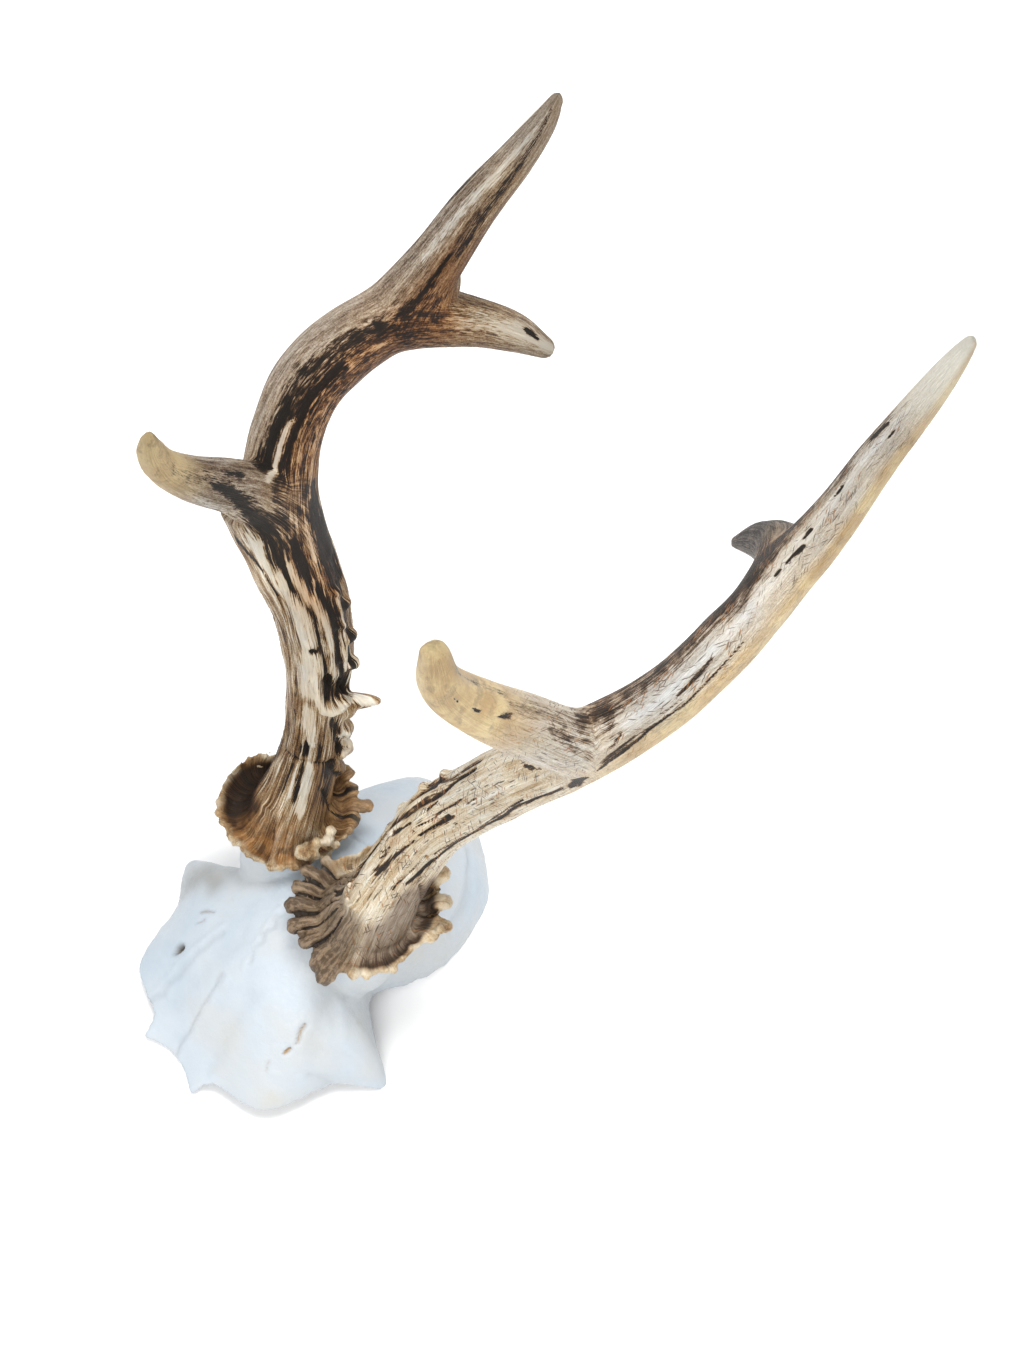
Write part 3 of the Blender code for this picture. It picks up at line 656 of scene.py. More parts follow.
def furrows(places, shares, rough):
    """Furrows and swells along the branches: height in mm, and how raised (0 to 1)."""
    height, relief = 0, 0
    for name, place in places.items():
        furrow = 1 - 2 * np.abs(lumps(place, 17, 3.4, 11)) ** 0.8
        fine, broad = lumps(place, 7, 8.5, 12), lumps(place, 30, 1.3, 13)
        calm = 1 - (1 - rough["least"]) * smoothstep(*rough["calm"], place[0])
        height += shares[name] * (calm * (rough["furrow"] * furrow + rough["fine"] * fine)
                                  + rough["broad"] * broad)
        relief += shares[name] * (0.5 + calm * (0.4 * furrow + 0.3 * fine))
    return height, np.clip(relief, 0, 1)


def drawn(places, shares, gaps, flare, strokes):
    """What the strokes add up to: height in mm, dark and pale."""
    ragged = {name: RAGGED * lumps(place, 5, 10, 18) for name, place in places.items()}
    wander = {name: WANDER * lumps(place, 9, 3, 17) for name, place in places.items()}
    height, dark, pale = np.zeros((3, len(flare)))
    for nodes, lift, tone, *branch in strokes:
        branch = branch[0] if branch else "beam"
        nodes = [(along, math.radians(turn) * STROKE_RADIUS, wide) for along, turn, wide in nodes]
        runs, crosses = (abs(nodes[-1][k] - nodes[0][k]) for k in (0, 1))
        along, turn = places[branch]
        if runs > 1.5 * crosses:
            along = along + ragged[branch]
        turn = turn + wander[branch]
        cover = stroke_cover(lambda u, v: np.stack(
            [along - u, wrapped(turn - v / STROKE_RADIUS) * STROKE_RADIUS], axis=1), nodes)
        cover *= smoothstep(*STROKE_GAP, gaps[branch]) * (1 - flare)
        if branch == "rear":
            cover *= shares[branch]
        height += lift * cover
        shade, white = max(tone, 0), max(-tone, 0)
        dark = dark * (1 - min(white, 1) * cover) + shade * cover * (1 - np.clip(dark, 0, 1))
        pale = pale * (1 - min(shade, 1) * cover) + white * cover * (1 - np.clip(pale, 0, 1))
    return height, dark, pale


def carve(obj, lines, burr, strokes, rough):
    """Relief and colour fields of one antler, worked out from its flow."""
    mesh = obj.data
    points, normals = surface_of(mesh)
    places, shares, gaps, web = flow(lines, points)
    _, bx, by, radius, _, _ = lines["beam"].locate(points)
    reach = np.hypot(bx, by)
    low = smoothstep(*BURR_FADES, points[:, 2])
    flare = low * smoothstep(1.15, 1.75, reach / radius)
    places["beam"] = (places["beam"][0] - low * np.maximum(reach - radius, 0), places["beam"][1])
    away = points[:, :2] - np.array(burr["middle"])
    bearing = np.arctan2(away[:, 1], away[:, 0])
    share = np.hypot(away[:, 0], away[:, 1]) / burr_reach(burr, bearing)
    rim = burr_rim(points, normals, burr, share)

    height, relief = furrows(places, shares, rough)
    lifted, dark, pale = drawn(places, shares, gaps, flare, strokes)
    height += flare * 0.3 * noise(points / 1.9, 14) + rim * 0.35 * noise(points / 1.2, 15)
    height += web * (1 - low) + lifted
    for turn, wide, depth in burr["folds"]:
        gap = wrapped(bearing - math.radians(turn)) * FOLD_REACH
        crease = np.exp(-(gap / wide) ** 2) * low * smoothstep(0.40, 0.56, share)
        height -= depth * crease
        # painted shade in the crease
        dark += crease * (1 - np.clip(dark, 0, 1))
    forks = smoothstep(0.02, 0.35, 1 - np.max(list(shares.values()), axis=0)) * (1 - low)
    set_places(mesh, relaxed(mesh, points + normals * height[:, None], forks, FORK_ROUNDS))
    mesh.shade_smooth()

    fields = {"relief": relief, "dark": dark, "pale": pale, "flare": flare, "rim": rim,
              "share_tine": 1 - shares["beam"], "outward": smoothstep(0.58, 0.95, share)}
    fields |= burr_tints(burr, bearing, share, rim, low)
    fields |= branch_tints(lines, places, shares, rough)
    fields["dusk"] = np.maximum(fields["dusk"], fields.pop("dusky"))
    for name, values in fields.items():
        store(mesh, name, values)
    tine = np.where(shares["front"] > shares["rear"], places["front"], places["rear"])
    for suffix, (along, turn) in (("", places["beam"]), ("_tine", tine)):
        for name, twist in (("flow", 0), ("lean", 0.09), ("back", -0.09)):
            store(mesh, name + suffix, np.c_[along, circle(turn + twist * along) * TURN_SCALE])


def burr_tints(burr, bearing, share, rim, low):
    """Where a burr has painted shade in its hollow, and where it is amber or dusky."""
    dish = sum(weight * sector(bearing, turn, wide, 0.55) for turn, wide, weight in burr["dishes"])
    # the hollow inside the rim, where the painted shade lies
    hollow = smoothstep(0.36, 0.52, share) * smoothstep(1.0, 0.86, share) * (1 - rim) * low
    return {"dish": np.clip(hollow * dish, 0, 1),
            "dusk": sector(bearing, *burr["dusk"], 0.6) * smoothstep(0.28, 0.52, share) * low,
            "amber": sector(bearing, *burr["amber"], 0.4) * smoothstep(0.3, 0.7, share) * low}


def branch_tints(lines, places, shares, rough):
    """Where the branches are calm, red-brown, honey yellow, dusky or worn at the end, and where an
    upper beam is greyed and given a painted sheen.
    """
    along, turn = places["beam"]
    front, rear = places["front"][0], places["rear"][0]
    front_start, front_end = lines["front"].along[[0, -1]]
    rear_start = lines["rear"].along[0]
    upper = np.maximum(smoothstep(105, 145, along), shares["front"] * smoothstep(
        front_start + 14, front_start + 32, front))
    side, wide, start, stop = rough["ruddy"]
    ruddy = sector(turn, side, wide, 0.4) * smoothstep(start - 12, start + 12, along)
    ruddy *= smoothstep(stop + 12, stop - 12, along) * (1 - shares["front"])
    ends = sum(shares[name] * smoothstep(line.along[-1] - 24, line.along[-1] - 5, places[name][0])
               for name, line in lines.items())
    side, wide, strength = rough["gilt"]
    honey = strength * upper * shares["beam"] * sector(turn, side, wide, 0.4)
    honey += shares["front"] * smoothstep(front_end - rough["honey"],
                                          front_end - 0.35 * rough["honey"], front)
    # the side of an upper beam round the given turn: greyed, with a painted sheen
    tint_and_sheen = (0.5 + 0.5 * np.cos(turn - math.radians(rough["tint_and_sheen"]))) ** 3
    dusky = rough["dusky"] * shares["rear"] * smoothstep(rear_start + 5, rear_start + 13, rear)
    return {"upper": upper, "ruddy": ruddy, "ends": ends, "honey": honey, "tint_and_sheen": upper * tint_and_sheen,
            "dusky": dusky}


# For each antler: heights of its relief in mm, where along it the relief calms down and how
# much stays, the turn where its upper beam is greyed and given a painted sheen, the length
# of honey on the front tine, how dusky the rear tine is; and, each with its turn and half
# width, the gilt edge (strength) and the red-brown side (from, to).
carve(right_antler, right_lines, RIGHT_BURR, RIGHT_STROKES,
      {"furrow": 0.42, "fine": 0.10, "broad": 0.3, "calm": (95, 190), "least": 0.2, "tint_and_sheen": -15,
       "honey": 30, "gilt": (0, 1, 0), "ruddy": (84, 66, 80, 196), "dusky": 0})
carve(left_antler, left_lines, LEFT_BURR, LEFT_STROKES,
      {"furrow": 0.2, "fine": 0.07, "broad": 0.3, "calm": (60, 150), "least": 0.3, "tint_and_sheen": -10,
       "honey": 56, "gilt": (76, 50, 0.75), "ruddy": (-84, 60, 128, 190), "dusky": 1.25})


# ---------------------------------------------------------------- skull cap
# Each row is one arch across the cap, from nose to nape: y and z of its middle, then x, y
# and z of its rim, and how square the arch is.
ARCHES = [(-51.8, -18.5, 10.4, -54.8, -17.6, 1.2), (-44.5, -11, 14.8, -49, -15.4, 1.4),
          (-38.5, -3.5, 27.4, -44.4, -15.2, 1.5), (-32.3, 3.4, 32, -35, -15, 1.6),
          (-25.5, 8.6, 34.8, -24.8, -15.6, 1.7), (-18, 12.8, 43.2, -14.2, -20, 1.5),
          (-12, 15, 32.5, -8.6, -17.6, 1.8), (-5, 16.2, 24.2, -3.6, -16.5, 2.2),
          (2, 16.6, 22.6, 1.6, -17, 2.4), (12, 16, 25.8, 11, -20, 2.3),
          (23, 13.4, 27.4, 22, -20, 2.2), (33, 8.6, 26.4, 31.5, -20, 2.1),
          (42, 1.4, 23.6, 40, -20, 2.1), (49.5, -9, 20.2, 47, -20, 2.1),
          (54.6, -20, 13, 52, -20, 2.1)]
ARCH_SPANS = 12
ARCH_SPOKES = 70                        # points from the middle of an arch to its rim
REAR_CUT_FROM = 16.0                    # mm, from here back the saw cut runs askew
REAR_SKEW = 0.28
# Lines of the two pedicles: rows of (x, y, z, radius).
PEDICLES = [[(-12.6, 1, -9, 8), (-15.4, 0.8, -3, 10), (-17.4, 0.6, 4, 11.4),
             (-19, 2.8, 11, 10.8), (-20.6, 6.2, 19.4, 10.2)],
            [(11.2, -0.2, -9, 8), (13.6, -0.5, -3, 10), (15.2, -0.7, 4, 11.4),
             (15.8, 1, 11, 10.8), (16.2, 4, 19.4, 10.2)]]
WALL, WALL_GAIN = 2.2, 1.2              # mm, the wall at the nose and how much it gains behind
CAP_VOXEL = 0.0007


def cap_grid():
    """The outside of the cap, as a grid of points: arches by spokes."""
    rows = spline(ARCHES, ARCH_SPANS)
    nothing = 0 * rows[:, 0]
    tears = noise(np.c_[rows[:, 0] / 3.1, nothing, nothing], 21)
    tears += 0.6 * noise(np.c_[rows[:, 0] / 1.3, nothing, nothing], 22)
    turn = np.linspace(-math.pi / 2, math.pi / 2, 2 * ARCH_SPOKES + 1)
    grid = []
    for (middle_y, middle_z, rim_x, rim_y, rim_z, fullness), tear in zip(rows, tears):
        spread = np.abs(np.sin(turn)) ** (2 / fullness)
        fall = 1 - np.cos(turn) ** (2 / fullness)
        x = np.sign(turn) * (rim_x + 0.25 * tear) * spread
        x = np.where(x < 0, x * (1 - 0.07 * smoothstep(-22, -30, middle_y)), x)
        grid.append(np.c_[x, middle_y + (rim_y - middle_y) * spread ** 2,
                          middle_z + (rim_z - middle_z) * fall])
    grid = np.array(grid)
    share = np.maximum(0, (grid[..., 1] - REAR_CUT_FROM) / (ARCHES[-1][0] - REAR_CUT_FROM))
    grid[..., 1] -= REAR_SKEW * share * (grid[..., 0] - ORIGIN[0])
    grid[..., 2] = np.maximum(grid[..., 2], ORIGIN[2])
    return grid


def shell_mesh(grid, thickness):
    """A closed wall: the grid outside, the same grid moved inwards, and a rim between."""
    inward = unit(np.cross(np.gradient(grid, axis=0), np.gradient(grid, axis=1)))
    inner = grid + inward * thickness[..., None]
    inner[..., 2] = np.maximum(inner[..., 2], ORIGIN[2])
    count = grid.shape[0] * grid.shape[1]
    at = np.arange(count).reshape(grid.shape[:2])
    outside = np.stack([at[:-1, :-1], at[:-1, 1:], at[1:, 1:], at[1:, :-1]], -1).reshape(-1, 4)
    walls = np.stack([outside, count + outside[:, ::-1]], 1).reshape(-1, 4)
    edge = np.r_[at[:, 0], at[-1, 1:], at[-2::-1, -1], at[0, -2:0:-1]]
    after = np.roll(edge, -1)
    rim = np.stack([after, edge, count + edge, count + after], -1)
    return mesh_from(np.vstack([grid.reshape(-1, 3), inner.reshape(-1, 3)]),
                     np.vstack([walls, rim]).tolist())


# Bone strokes, as seen from above: (((x, y, half width mm), ...), height mm, stain, shade); the
# shade is painted shade in hollows, holes, seams and folds.
BONE_STROKES = [
    # seam down the middle of the brow
    (((-1.5, -31, 0.7), (-0.6, -40, 0.8), (0.4, -51, 0.7)), 0.5, 0.06, 0.1),
    (((-2.6, -31, 0.5), (-1.7, -40, 0.5), (-0.8, -51, 0.5)), -0.35, 0.05, 0.35),
    (((-3, -8, 0.5), (-1.6, -11, 0.5), (-2.6, -13, 0.5), (-0.4, -15, 0.5), (-1.6, -17.5, 0.5),
      (0.4, -19, 0.5), (-0.4, -22, 0.5), (1.2, -24.5, 0.5)), -0.5, 0.1, 0.35),
    (((-3.6, -10, 0.5), (-2.8, -16, 0.5), (-1, -21, 0.5), (0.2, -27, 0.5)), 0.4, 0, 0),
    # long folds beside it
    (((-13, -24, 1.1), (-14.6, -36, 1.2), (-17, -49, 1)), 0.55, 0.04, 0),
    (((-11.6, -25, 0.9), (-13.2, -37, 1), (-15.4, -49, 0.8)), -0.45, 0.05, 0.3),
    (((7, -30, 2.4), (9, -40, 2.2), (10, -48, 1.8)), -0.5, 0, 0.12),
    (((-6, -22, 3), (-7.6, -34, 3), (-8.6, -44, 2.4)), -0.5, 0, 0.12),
    # holes of the brow, stained and darkened with painted shade
    (((-18.7, -34.6, 1.2), (-18.5, -34.2, 1.2)), -3.2, 0.2, 4),
    (((22.2, -23, 0.35), (22.8, -25.4, 0.55), (23, -27, 0.3)), -1, 0.55, 0.3),
    (((23, -29.4, 0.5), (23.3, -31, 0.45)), -1, 0.8, 0.6),
    (((21.6, -35.4, 0.5), (22.8, -37.4, 0.4)), -0.4, 0.4, 0.2),
    # stained cracks at the right brow
    (((-21.6, -24.6, 0.4), (-19.6, -24, 0.5), (-17.6, -22.6, 0.4)), -0.7, 0.45, 0.4),
    (((-20, -27.4, 0.4), (-18.2, -25.6, 0.4)), -0.5, 0.5, 0.3),
    # the hollow of the right eye socket: painted shade, with a little stain
    (((-32.5, -21, 4.4), (-31, -16, 4.4), (-25, -17, 3.4)), -0.5, 0.18, 1.1),
    (((-35, -19, 2.4), (-40, -16, 2.4)), -0.3, 0.1, 0.45),
    # folds at the back and the side of the left brow
    (((10, 44, 0.8), (17, 39, 1), (22.4, 31.6, 1), (24.6, 24, 0.8)), -0.6, 0, 0.3),
    (((13, 45, 1), (19, 39.6, 1.1), (24, 32, 1.1)), 0.5, 0, 0),
    (((24, -12, 1.4), (31, -18, 1.4), (37, -16, 1.2)), 0.5, 0, 0),
    (((18, -10, 2.4), (24, -18, 2.4), (28, -26, 2)), -0.5, 0, 0.12),
    (((30, -29.6, 1), (32.6, -27.6, 1.2), (36, -24.4, 1)), -0.6, 0.05, 0.2),
    # seam between brow and braincase
    (((-22, 17, 0.5), (-14, 19.4, 0.5), (-7, 17, 0.5), (0, 19.6, 0.5), (7, 17.4, 0.5),
      (14, 19.4, 0.5), (22, 17, 0.5)), -0.5, 0.08, 0.3),
]


def make_cap():
    """The grown cap with its strokes, stains and shade."""
    grid = cap_grid()
    thickness = WALL + WALL_GAIN * smoothstep(-30, 20, grid[..., 1])
    forms = [shell_mesh(grid, thickness)] + [tube_mesh(Line(rows, NOSE)) for rows in PEDICLES]
    cap = grow_together("skull_cap", forms, CAP_VOXEL)
    mesh = cap.data
    points, normals = surface_of(mesh)
    wander = np.stack([noise(points / 4.0, 41), noise(points / 4.0, 42)], axis=1)
    flat = points[:, :2] + 0.7 * wander
    lift = 0.22 * noise(points / 6.5, 31) + 0.07 * noise(points / 1.7, 32)
    stain, shade = np.zeros((2, len(points)))
    upward = smoothstep(-0.25, 0.1, normals[:, 2])
    for nodes, height, brown, painted_shade in BONE_STROKES:
        cover = upward * stroke_cover(lambda x, y: flat - (x, y), nodes)
        lift += height * cover
        stain += brown * cover
        shade += painted_shade * cover
    points = points + normals * lift[:, None]
    points[:, 2] = np.maximum(points[:, 2], ORIGIN[2])
    set_places(mesh, points)
    store(mesh, "stain", stain)
    store(mesh, "shade", shade)
    mesh.shade_smooth()
    return cap


skull_cap = make_cap()


# ---------------------------------------------------------------- materials
class Graph:
    """Short calls for building a material's nodes."""

    def __init__(self, name):
        self.material = bpy.data.materials.new(name)
        self.material.use_nodes = True
        self.tree = self.material.node_tree

    def put(self, socket, value):
        if isinstance(value, bpy.types.NodeSocket):
            self.tree.links.new(value, socket)
        else:
            socket.default_value = value

    def node(self, kind, inputs, output=0, **settings):
        """One output of a new node with these inputs (values or links) and settings."""
        made = self.tree.nodes.new("ShaderNode" + kind)
        for key, value in settings.items():
            setattr(made, key, value)
        for key, value in inputs.items():
            self.put(made.inputs[key], value)
        return made.outputs[output]

    def attribute(self, name, output="Fac"):
        return self.node("Attribute", {}, output, attribute_name=name)

    def math(self, kind, a, b, clamp=False):
        return self.node("Math", {0: a, 1: b}, operation=kind, use_clamp=clamp)

    def add(self, a, b, clamp=False):
        return self.math("ADD", a, b, clamp)

    def less(self, a, b, clamp=False):
        return self.math("SUBTRACT", a, b, clamp)

    def times(self, a, b):
        return self.math("MULTIPLY", a, b)

    def total(self, start, *parts):
        """A start value plus each (value, weight) multiplied."""
        for value, weight in parts:
            start = self.add(start, self.times(value, weight))
        return start

    def swing(self, value, size):
        """How far a value is from a half, times size."""
        return self.times(self.less(value, 0.5), size)

    def blend(self, share, a, b):
        return self.add(a, self.times(share, self.less(b, a)))

    def stretch(self, vector, scale, offset=(0, 0, 0)):
        return self.node("Mapping", {"Vector": vector, "Scale": scale, "Location": offset})

    def noise(self, vector, scale=1, detail=4, rough=0.6, warp=0):
        return self.node("TexNoise", {"Vector": vector, "Scale": scale, "Detail": detail,
                                      "Roughness": rough, "Distortion": warp}, "Fac")

    def span(self, value, low, high, to_low=0, to_high=1, kind="SMOOTHSTEP"):
        return self.node("MapRange", {"Value": value, "From Min": low, "From Max": high,
                                      "To Min": to_low, "To Max": to_high}, interpolation_type=kind)

    def ramp(self, value, stops):
        made = self.tree.nodes.new("ShaderNodeValToRGB")
        band = made.color_ramp
        while len(band.elements) < len(stops):
            band.elements.new(0.5)
        for element, (place, colour) in zip(band.elements, stops):
            element.position = place
            element.color = (*colour, 1)
        self.put(made.inputs[0], value)
        return made.outputs[0]

    def mix(self, share, a, b, kind="MIX"):
        a, b = ((*value, 1) if isinstance(value, tuple) else value for value in (a, b))
        return self.node("Mix", {0: share, 6: a, 7: b}, 2, data_type="RGBA", blend_type=kind)

    def tint(self, share, colour, tone):
        return self.mix(share, colour, self.mix(1, colour, tone, "MULTIPLY"))

    def finish(self, colour, gloss, roughness, height, depth):
        """The material, with its shader's inputs; height is the fine relief, depth in mm."""
        bump = self.node("Bump", {"Height": height, "Distance": depth * MM, "Strength": 1})
        shader = self.tree.nodes["Principled BSDF"]
        for key, value in (("Base Color", colour), ("Specular IOR Level", gloss),
                           ("Roughness", roughness), ("Normal", bump)):
            self.put(shader.inputs[key], value)
        return self.material


def dashes(g, vector, size, patch):
    """Short thin marks: the hearts of stretched cells, kept only in patches."""
    distance = g.node("TexVoronoi", {"Vector": vector, "Scale": 1}, "Distance")
    return g.times(g.span(distance, 0.5 * size, size, 1, 0), patch)


def branch_pattern(g, suffix, marks):
    """Streaks along one branch, from broad to hair thin, speckle and the short marks."""
    flow_at = g.attribute("flow" + suffix, "Vector")
    found = [g.noise(g.stretch(flow_at, scale, offset), 1, detail, rough, warp)
             for scale, offset, detail, rough, warp in (
                 ((0.030, 0.50, 0.50), (0, 0, 0), 5, 0.60, 0.3),
                 ((0.055, 1.5, 1.5), (3, 1, 2), 6, 0.65, 0.2),
                 ((0.16, 5.0, 5.0), (7, 5, 1), 4, 0.65, 0.15),
                 ((0.42, 1.9, 1.9), (2, 8, 4), 5, 0.70, 0.3))]
    for number, (key, scale, size, low, high, _) in enumerate(marks):
        vector = g.stretch(g.attribute(key + suffix, "Vector"), scale)
        patch = g.noise(g.stretch(flow_at, (0.12, 0.3, 0.3), (5 * number, 2, 3)), 1, 3)
        found.append(dashes(g, vector, size, g.span(patch, low, high)))
    return found


class AntlerPattern:
    """The fields that both the shade and the colours of an antler are made from."""

    def __init__(self, g, look):
        beam, tine = (branch_pattern(g, suffix, look["marks"]) for suffix in ("", "_tine"))
        share = g.attribute("share_tine")
        self.broad, streak, hair, speck, *self.marks = (
            g.blend(share, a, b) for a, b in zip(beam, tine))
        self.streak, self.hair, self.speck = (g.span(value, 0.34, 0.66)
                                              for value in (streak, hair, speck))
        self.place = g.node("TexCoord", {}, "Object")
        self.grain = g.noise(self.place, 2600, 4, 0.7)
        self.blot = self.cloud(g, 300, 0.36, 0.64, rough=0.65)
        for name in ("dark", "pale", "relief", "flare", "rim", "ends", "upper", "dusk", "dish"):
            setattr(self, name, g.attribute(name))

    def cloud(self, g, scale, low, high, detail=4, rough=0.6, warp=0):
        """Soft patches in space, the same all over the piece."""
        return g.span(g.noise(self.place, scale, detail, rough, warp), low, high)


def antler_shade(g, at, look):
    """How dark an antler is, from 0 to 1, and where it is black."""
    still = g.times(at.upper, look["calm"])
    calm = g.less(g.less(1, still), g.times(at.flare, 0.75), clamp=True)
    shade = look["base"]
    for value, weight in ((at.broad, look["broad"]), (at.streak, g.times(calm, look["streak"])),
                          (at.hair, g.times(calm, look["hair"])), (at.grain, look["grain"]),
                          (at.relief, -look["relief"]), (at.speck, g.times(still, look["speck"]))):
        shade = g.add(shade, g.swing(value, weight))
    shade = g.total(shade, (at.upper, look["upper"]), (at.flare, look["flare"]),
                    (at.ends, -look["ends"]))
    ragged = g.add(g.swing(at.streak, 0.62), g.swing(at.hair, 0.48))
    ragged = g.blend(still, ragged, g.swing(at.speck, 0.7))
    ragged = g.add(g.times(ragged, look["ragged"]), g.swing(at.blot, look["mottle"]))
    # dark: the antler's own dark furrows, and painted shade in pits and burr creases; pale: its
    # polished patches, and painted sheen bands
    black = g.span(g.add(at.dark, ragged), 0.32, 0.72)
    white = g.span(g.less(at.pale, ragged), 0.18, 0.75)
    shade = g.blend(white, shade, g.times(shade, 0.12))
    shade = g.blend(black, shade, g.total(0.66, (at.dark, 0.24), (ragged, 0.35)))
    # painted shade in the hollow of a burr, darker towards its rim by dish_fall
    bowl = g.total(look["dish"], (g.attribute("outward"), look["dish_fall"]),
                   (ragged, look["dish_streak"]))
    return g.add(g.blend(at.dish, shade, bowl), 0, clamp=True), black


def antler_colour(g, at, look, shade, black):
    """The colour of an antler: a ramp over its shade, then one tint after another."""
    # greys the upper beams and paints a sheen on them, and greys the painted shade in the burr
    # hollows, from one ramp
    tint_and_sheen_mix = g.math("MAXIMUM", g.times(g.attribute("tint_and_sheen"), look["tint_and_sheen_mix"]),
                    g.times(at.dish, look["dish_shade_tint"]))
    colour = g.mix(tint_and_sheen_mix, g.ramp(shade, look["stops"]), g.ramp(shade, TINT_AND_SHEEN_STOPS))
    colour = g.tint(g.times(g.attribute("ruddy"), look["ruddy"]), colour, RED_BROWN)
    kept = g.times(g.less(1, at.ends, clamp=True), g.less(0.9, g.times(at.flare, 0.9)))
    for mark, (*_, tone) in zip(at.marks, look["marks"]):
        colour = g.mix(g.times(mark, kept), colour, tone)
    warmth = g.span(g.noise(at.place, 70, 3), 0.35, 0.65)
    colour = g.tint(0.55, colour, g.mix(warmth, look["tint_and_sheen_tint"], look["warm_tint"]))
    clear = g.less(1, black, clamp=True)
    worn = g.times(g.times(at.ends, clear), look["end_share"])
    colour = g.mix(worn, colour, look["end_colour"])
    honey = g.mix(at.cloud(g, 130, 0.34, 0.62), look["honey"], look["honey_dark"])
    smudge = at.cloud(g, 210, 0.50, 0.62, 6, 0.72, 0.4)
    honey = g.mix(g.times(smudge, 0.45), honey, SMUDGE)
    colour = g.mix(g.times(g.attribute("honey"), g.times(clear, 0.88)), colour, honey)
    amber = g.span(g.total(0, (at.streak, 0.35), (at.blot, 0.65)), 0.2, 0.9)
    colour = g.mix(g.times(g.attribute("amber"), look["amber"]), colour, g.mix(amber, *AMBERS))
    bead = g.total(0, (g.noise(at.place, 170, 4, 0.65), 0.75), (at.grain, 0.25))
    beaded = g.times(g.blend(at.dusk, at.rim, g.times(at.rim, 0.35)), 0.8)
    colour = g.mix(beaded, colour, g.ramp(bead, RIM_STOPS))
    dusky = g.span(g.total(0, (at.streak, 0.5), (at.speck, 0.5)), 0.2, 0.8)
    dusky = g.mix(black, g.mix(dusky, look["dusk_light"], look["dusk_dark"]), DUSK_BLACK)
    return g.mix(g.times(at.dusk, look["dusk"]), colour, dusky)


def antler_look(name, look):
    """Antler: one number, how dark, steered by the strokes and by streaks along the flow."""
    g = Graph(name)
    at = AntlerPattern(g, look)
    shade, black = antler_shade(g, at, look)
    colour = antler_colour(g, at, look, shade, black)
    roughness = g.span(g.total(shade, (at.grain, 0.3)), 0.1, 1, *look["roughness"], kind="LINEAR")
    fibres = g.total(0, (at.streak, 0.8), (at.hair, 0.5), (at.grain, 0.18),
                     *((mark, -0.1) for mark in at.marks[:1]))
    return g.finish(colour, look["gloss"], roughness, fibres, look["bump"])


BLACK, UMBER, GOLD = (0.014, 0.010, 0.007), (0.075, 0.036, 0.015), (0.24, 0.125, 0.046)
TAN, CREAM, IVORY = (0.42, 0.275, 0.14), (0.68, 0.55, 0.37), (0.90, 0.86, 0.76)
RED_BROWN, SMUDGE, DUSK_BLACK = (0.82, 0.55, 0.33), (0.30, 0.17, 0.07), (0.022, 0.015, 0.010)
AMBERS = (0.40, 0.19, 0.06), (0.13, 0.06, 0.022)
# ramp for the greyed upper beams with their painted sheen, also used to grey the painted shade in
# the burr hollows
TINT_AND_SHEEN_STOPS = [(0.0, (0.84, 0.83, 0.82)), (0.30, (0.60, 0.57, 0.53)), (0.50, (0.32, 0.27, 0.22)),
                (0.68, (0.09, 0.065, 0.045)), (0.86, BLACK)]
RIM_STOPS = [(0.36, (0.12, 0.06, 0.028)), (0.44, (0.42, 0.27, 0.13)), (0.51, (0.68, 0.55, 0.36)),
             (0.62, (0.86, 0.79, 0.64))]
# A mark is (field it lies along, scale, size, patches from, patches to, colour).
right_antler.data.materials.append(antler_look("antler_right_look", {
    "base": 0.40, "broad": 0.8, "streak": 0.46, "hair": 0.36, "grain": 0.75, "relief": 0.3,
    "upper": 0.04, "flare": 0.10, "ends": 0.05, "bump": 0.5, "tint_and_sheen_mix": 0.5, "gloss": 0.3,
    "calm": 0.7, "ragged": 1.0, "speck": 0.42, "mottle": 0.12, "ruddy": 0.8, "amber": 0.7,
    "dish": 0.79, "dish_streak": 0.08, "dish_fall": 0.0, "dish_shade_tint": 0.0,
    "dusk": 0.6, "dusk_light": (0.36, 0.21, 0.09), "dusk_dark": (0.12, 0.06, 0.025),
    "honey": (0.98, 0.76, 0.40), "honey_dark": (0.84, 0.60, 0.29), "roughness": (0.32, 0.6),
    "tint_and_sheen_tint": (0.82, 0.82, 0.82), "warm_tint": (1, 0.90, 0.76),
    "end_share": 0.15, "end_colour": (0.72, 0.67, 0.60), "marks": [],
    "stops": [(0.0, IVORY), (0.17, CREAM), (0.34, TAN), (0.50, GOLD), (0.66, UMBER),
              (0.84, BLACK)]}))
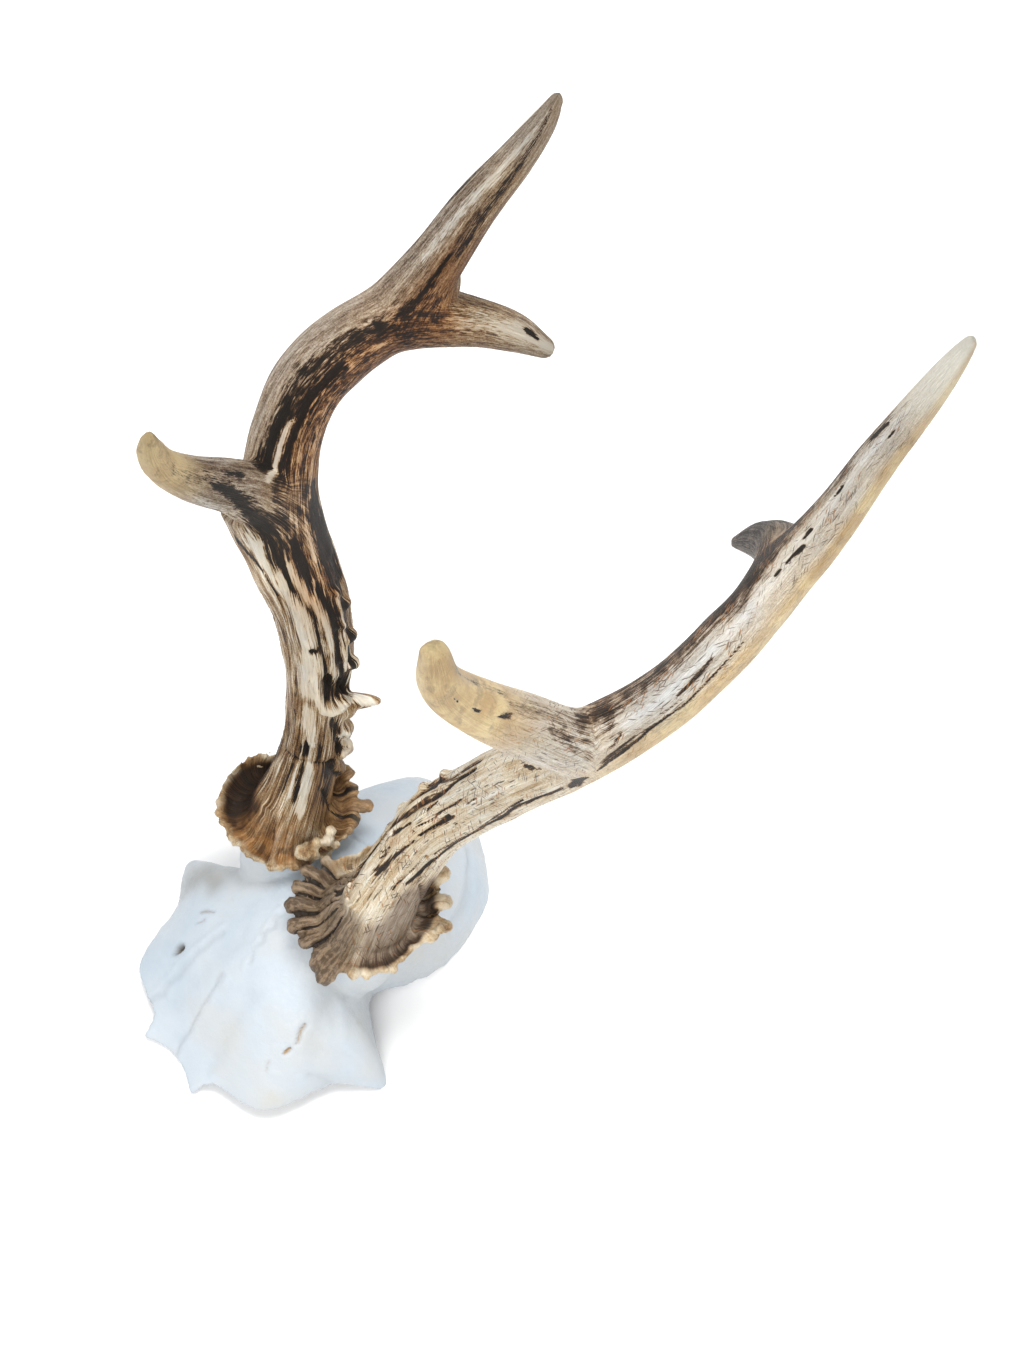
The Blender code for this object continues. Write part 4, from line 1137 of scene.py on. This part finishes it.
left_antler.data.materials.append(antler_look("antler_left_look", {
    "base": 0.19, "broad": 0.5, "streak": 0.2, "hair": 0.2, "grain": 0.6, "relief": 0.18,
    "upper": 0.07, "flare": 0.36, "ends": 0.14, "bump": 0.35, "tint_and_sheen_mix": 0.7, "gloss": 0.4,
    "calm": 0.4, "ragged": 0.55, "speck": 0.2, "mottle": 0.14, "ruddy": 0.35, "amber": 0.3,
    "dish": 0.47, "dish_streak": 0.4, "dish_fall": 0.30, "dish_shade_tint": 0.65,
    "dusk": 0.93, "dusk_light": (0.27, 0.19, 0.12), "dusk_dark": (0.075, 0.048, 0.027),
    "honey": (1.0, 0.77, 0.38), "honey_dark": (0.68, 0.44, 0.18), "roughness": (0.32, 0.56),
    "tint_and_sheen_tint": (0.92, 0.95, 0.98), "warm_tint": (1, 0.93, 0.80),
    "end_share": 0.8, "end_colour": (1.0, 0.96, 0.82),
    "marks": [("lean", (0.22, 1.5, 1.5), 0.29, 0.41, 0.53, (0.075, 0.038, 0.018)),
              ("back", (0.24, 1.6, 1.6), 0.29, 0.42, 0.54, (0.11, 0.050, 0.024)),
              ("flow", (0.15, 1.3, 1.3), 0.28, 0.42, 0.54, (0.07, 0.04, 0.02)),
              ("lean", (0.30, 1.2, 1.2), 0.33, 0.47, 0.58, (0.42, 0.18, 0.06))],
    "stops": [(0.02, IVORY), (0.24, CREAM), (0.42, TAN), (0.55, GOLD), (0.68, UMBER),
              (0.86, BLACK)]}))


def bone_look():
    """Bleached bone: bluish white, faint cream clouds, brown stains and painted shade in hollows,
    holes, seams and folds.
    """
    g = Graph("bleached_bone_look")
    place = g.node("TexCoord", {}, "Object")
    cloud = g.noise(place, 34, 4, 0.55)
    patch = g.noise(place, 90, 4, 0.6, 0.4)
    pores = g.noise(place, 900, 3, 0.6)
    colour = g.ramp(cloud, [(0.34, (0.42, 0.485, 0.545)), (0.48, (0.475, 0.525, 0.57)),
                            (0.60, (0.49, 0.515, 0.53)), (0.72, (0.49, 0.49, 0.46))])
    brown = g.span(g.add(g.attribute("stain"), g.swing(patch, 0.8)), 0.15, 0.9)
    # painted shade in hollows, holes, seams and folds, from the strokes' shade
    painted_shade = g.math("MULTIPLY", g.attribute("shade"), 0.4, clamp=True)
    colour = g.mix(g.times(g.span(patch, 0.62, 0.74), 0.12), colour, (0.62, 0.52, 0.38))
    colour = g.mix(painted_shade, colour, (0.13, 0.12, 0.10))
    colour = g.mix(brown, colour, (0.34, 0.21, 0.09))
    return g.finish(colour, 0.35, g.span(pores, 0.3, 0.7, 0.38, 0.58),
                    g.total(patch, (pores, 0.5)), 0.25)


skull_cap.data.materials.append(bone_look())

# ---------------------------------------------------------------- riding on the frame
for side, piece in (("right", right_antler), ("left", left_antler)):
    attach(piece, "root")
    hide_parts(f"{side}_lower_beam", f"{side}_middle_beam", f"{side}_top_tine",
                f"{side}_front_tine", f"{side}_rear_tine")
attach(skull_cap, "root")
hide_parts("left_frontal_bone", "right_frontal_bone", "parietal_bone")

# ---------------------------------------------------------------- floor, light, camera
FLOOR_HALF = 3.0                        # m
AIM = Vector((0, 0, 0.1))               # m, where both lamps point
floor_look = Graph("floor_look")
floor_shader = floor_look.tree.nodes["Principled BSDF"].inputs
floor_shader["Base Color"].default_value = (0.97, 0.97, 0.97, 1)
floor_shader["Roughness"].default_value = 0.9
floor_mesh = bpy.data.meshes.new("floor")
floor_mesh.from_pydata([(x * FLOOR_HALF, y * FLOOR_HALF, 0) for x, y in
                        ((-1, -1), (1, -1), (1, 1), (-1, 1))], [], [(0, 1, 2, 3)])
floor_mesh.materials.append(floor_look.material)
floor = link("floor", floor_mesh)


def soft_light(name, place, size, power):
    data = bpy.data.lights.new(name, "AREA")
    data.shape = "DISK"
    data.size = size
    data.energy = power
    lamp = link(name, data)
    lamp.location = place
    lamp.rotation_euler = (AIM - Vector(place)).to_track_quat("-Z", "Y").to_euler()


soft_light("key", (-0.12, 0.22, 1.3), 0.6, 13.5)
soft_light("side", (0.55, -0.70, 0.9), 0.7, 8)
world = bpy.data.worlds.new("studio")
world.use_nodes = True
world.node_tree.nodes["Background"].inputs["Color"].default_value = (1, 1, 1, 1)
world.node_tree.nodes["Background"].inputs["Strength"].default_value = 0.62
bpy.context.scene.world = world
bpy.context.scene.view_settings.view_transform = "Standard"

CAMERA_PLACE = (0.1668, -0.1407, 0.5283)
CAMERA_AXES = ((0.6640, 0.7467, 0.0400), (-0.6721, 0.5726, 0.4694), (0.3276, -0.3386, 0.8821))
camera_data = bpy.data.cameras.new("camera")
camera_data.sensor_width = 36.0
camera_data.lens = 52.75
camera = link("camera", camera_data)
camera.matrix_world = Matrix.LocRotScale(Vector(CAMERA_PLACE),
                                         Matrix(CAMERA_AXES).transposed(), None)
bpy.context.scene.camera = camera
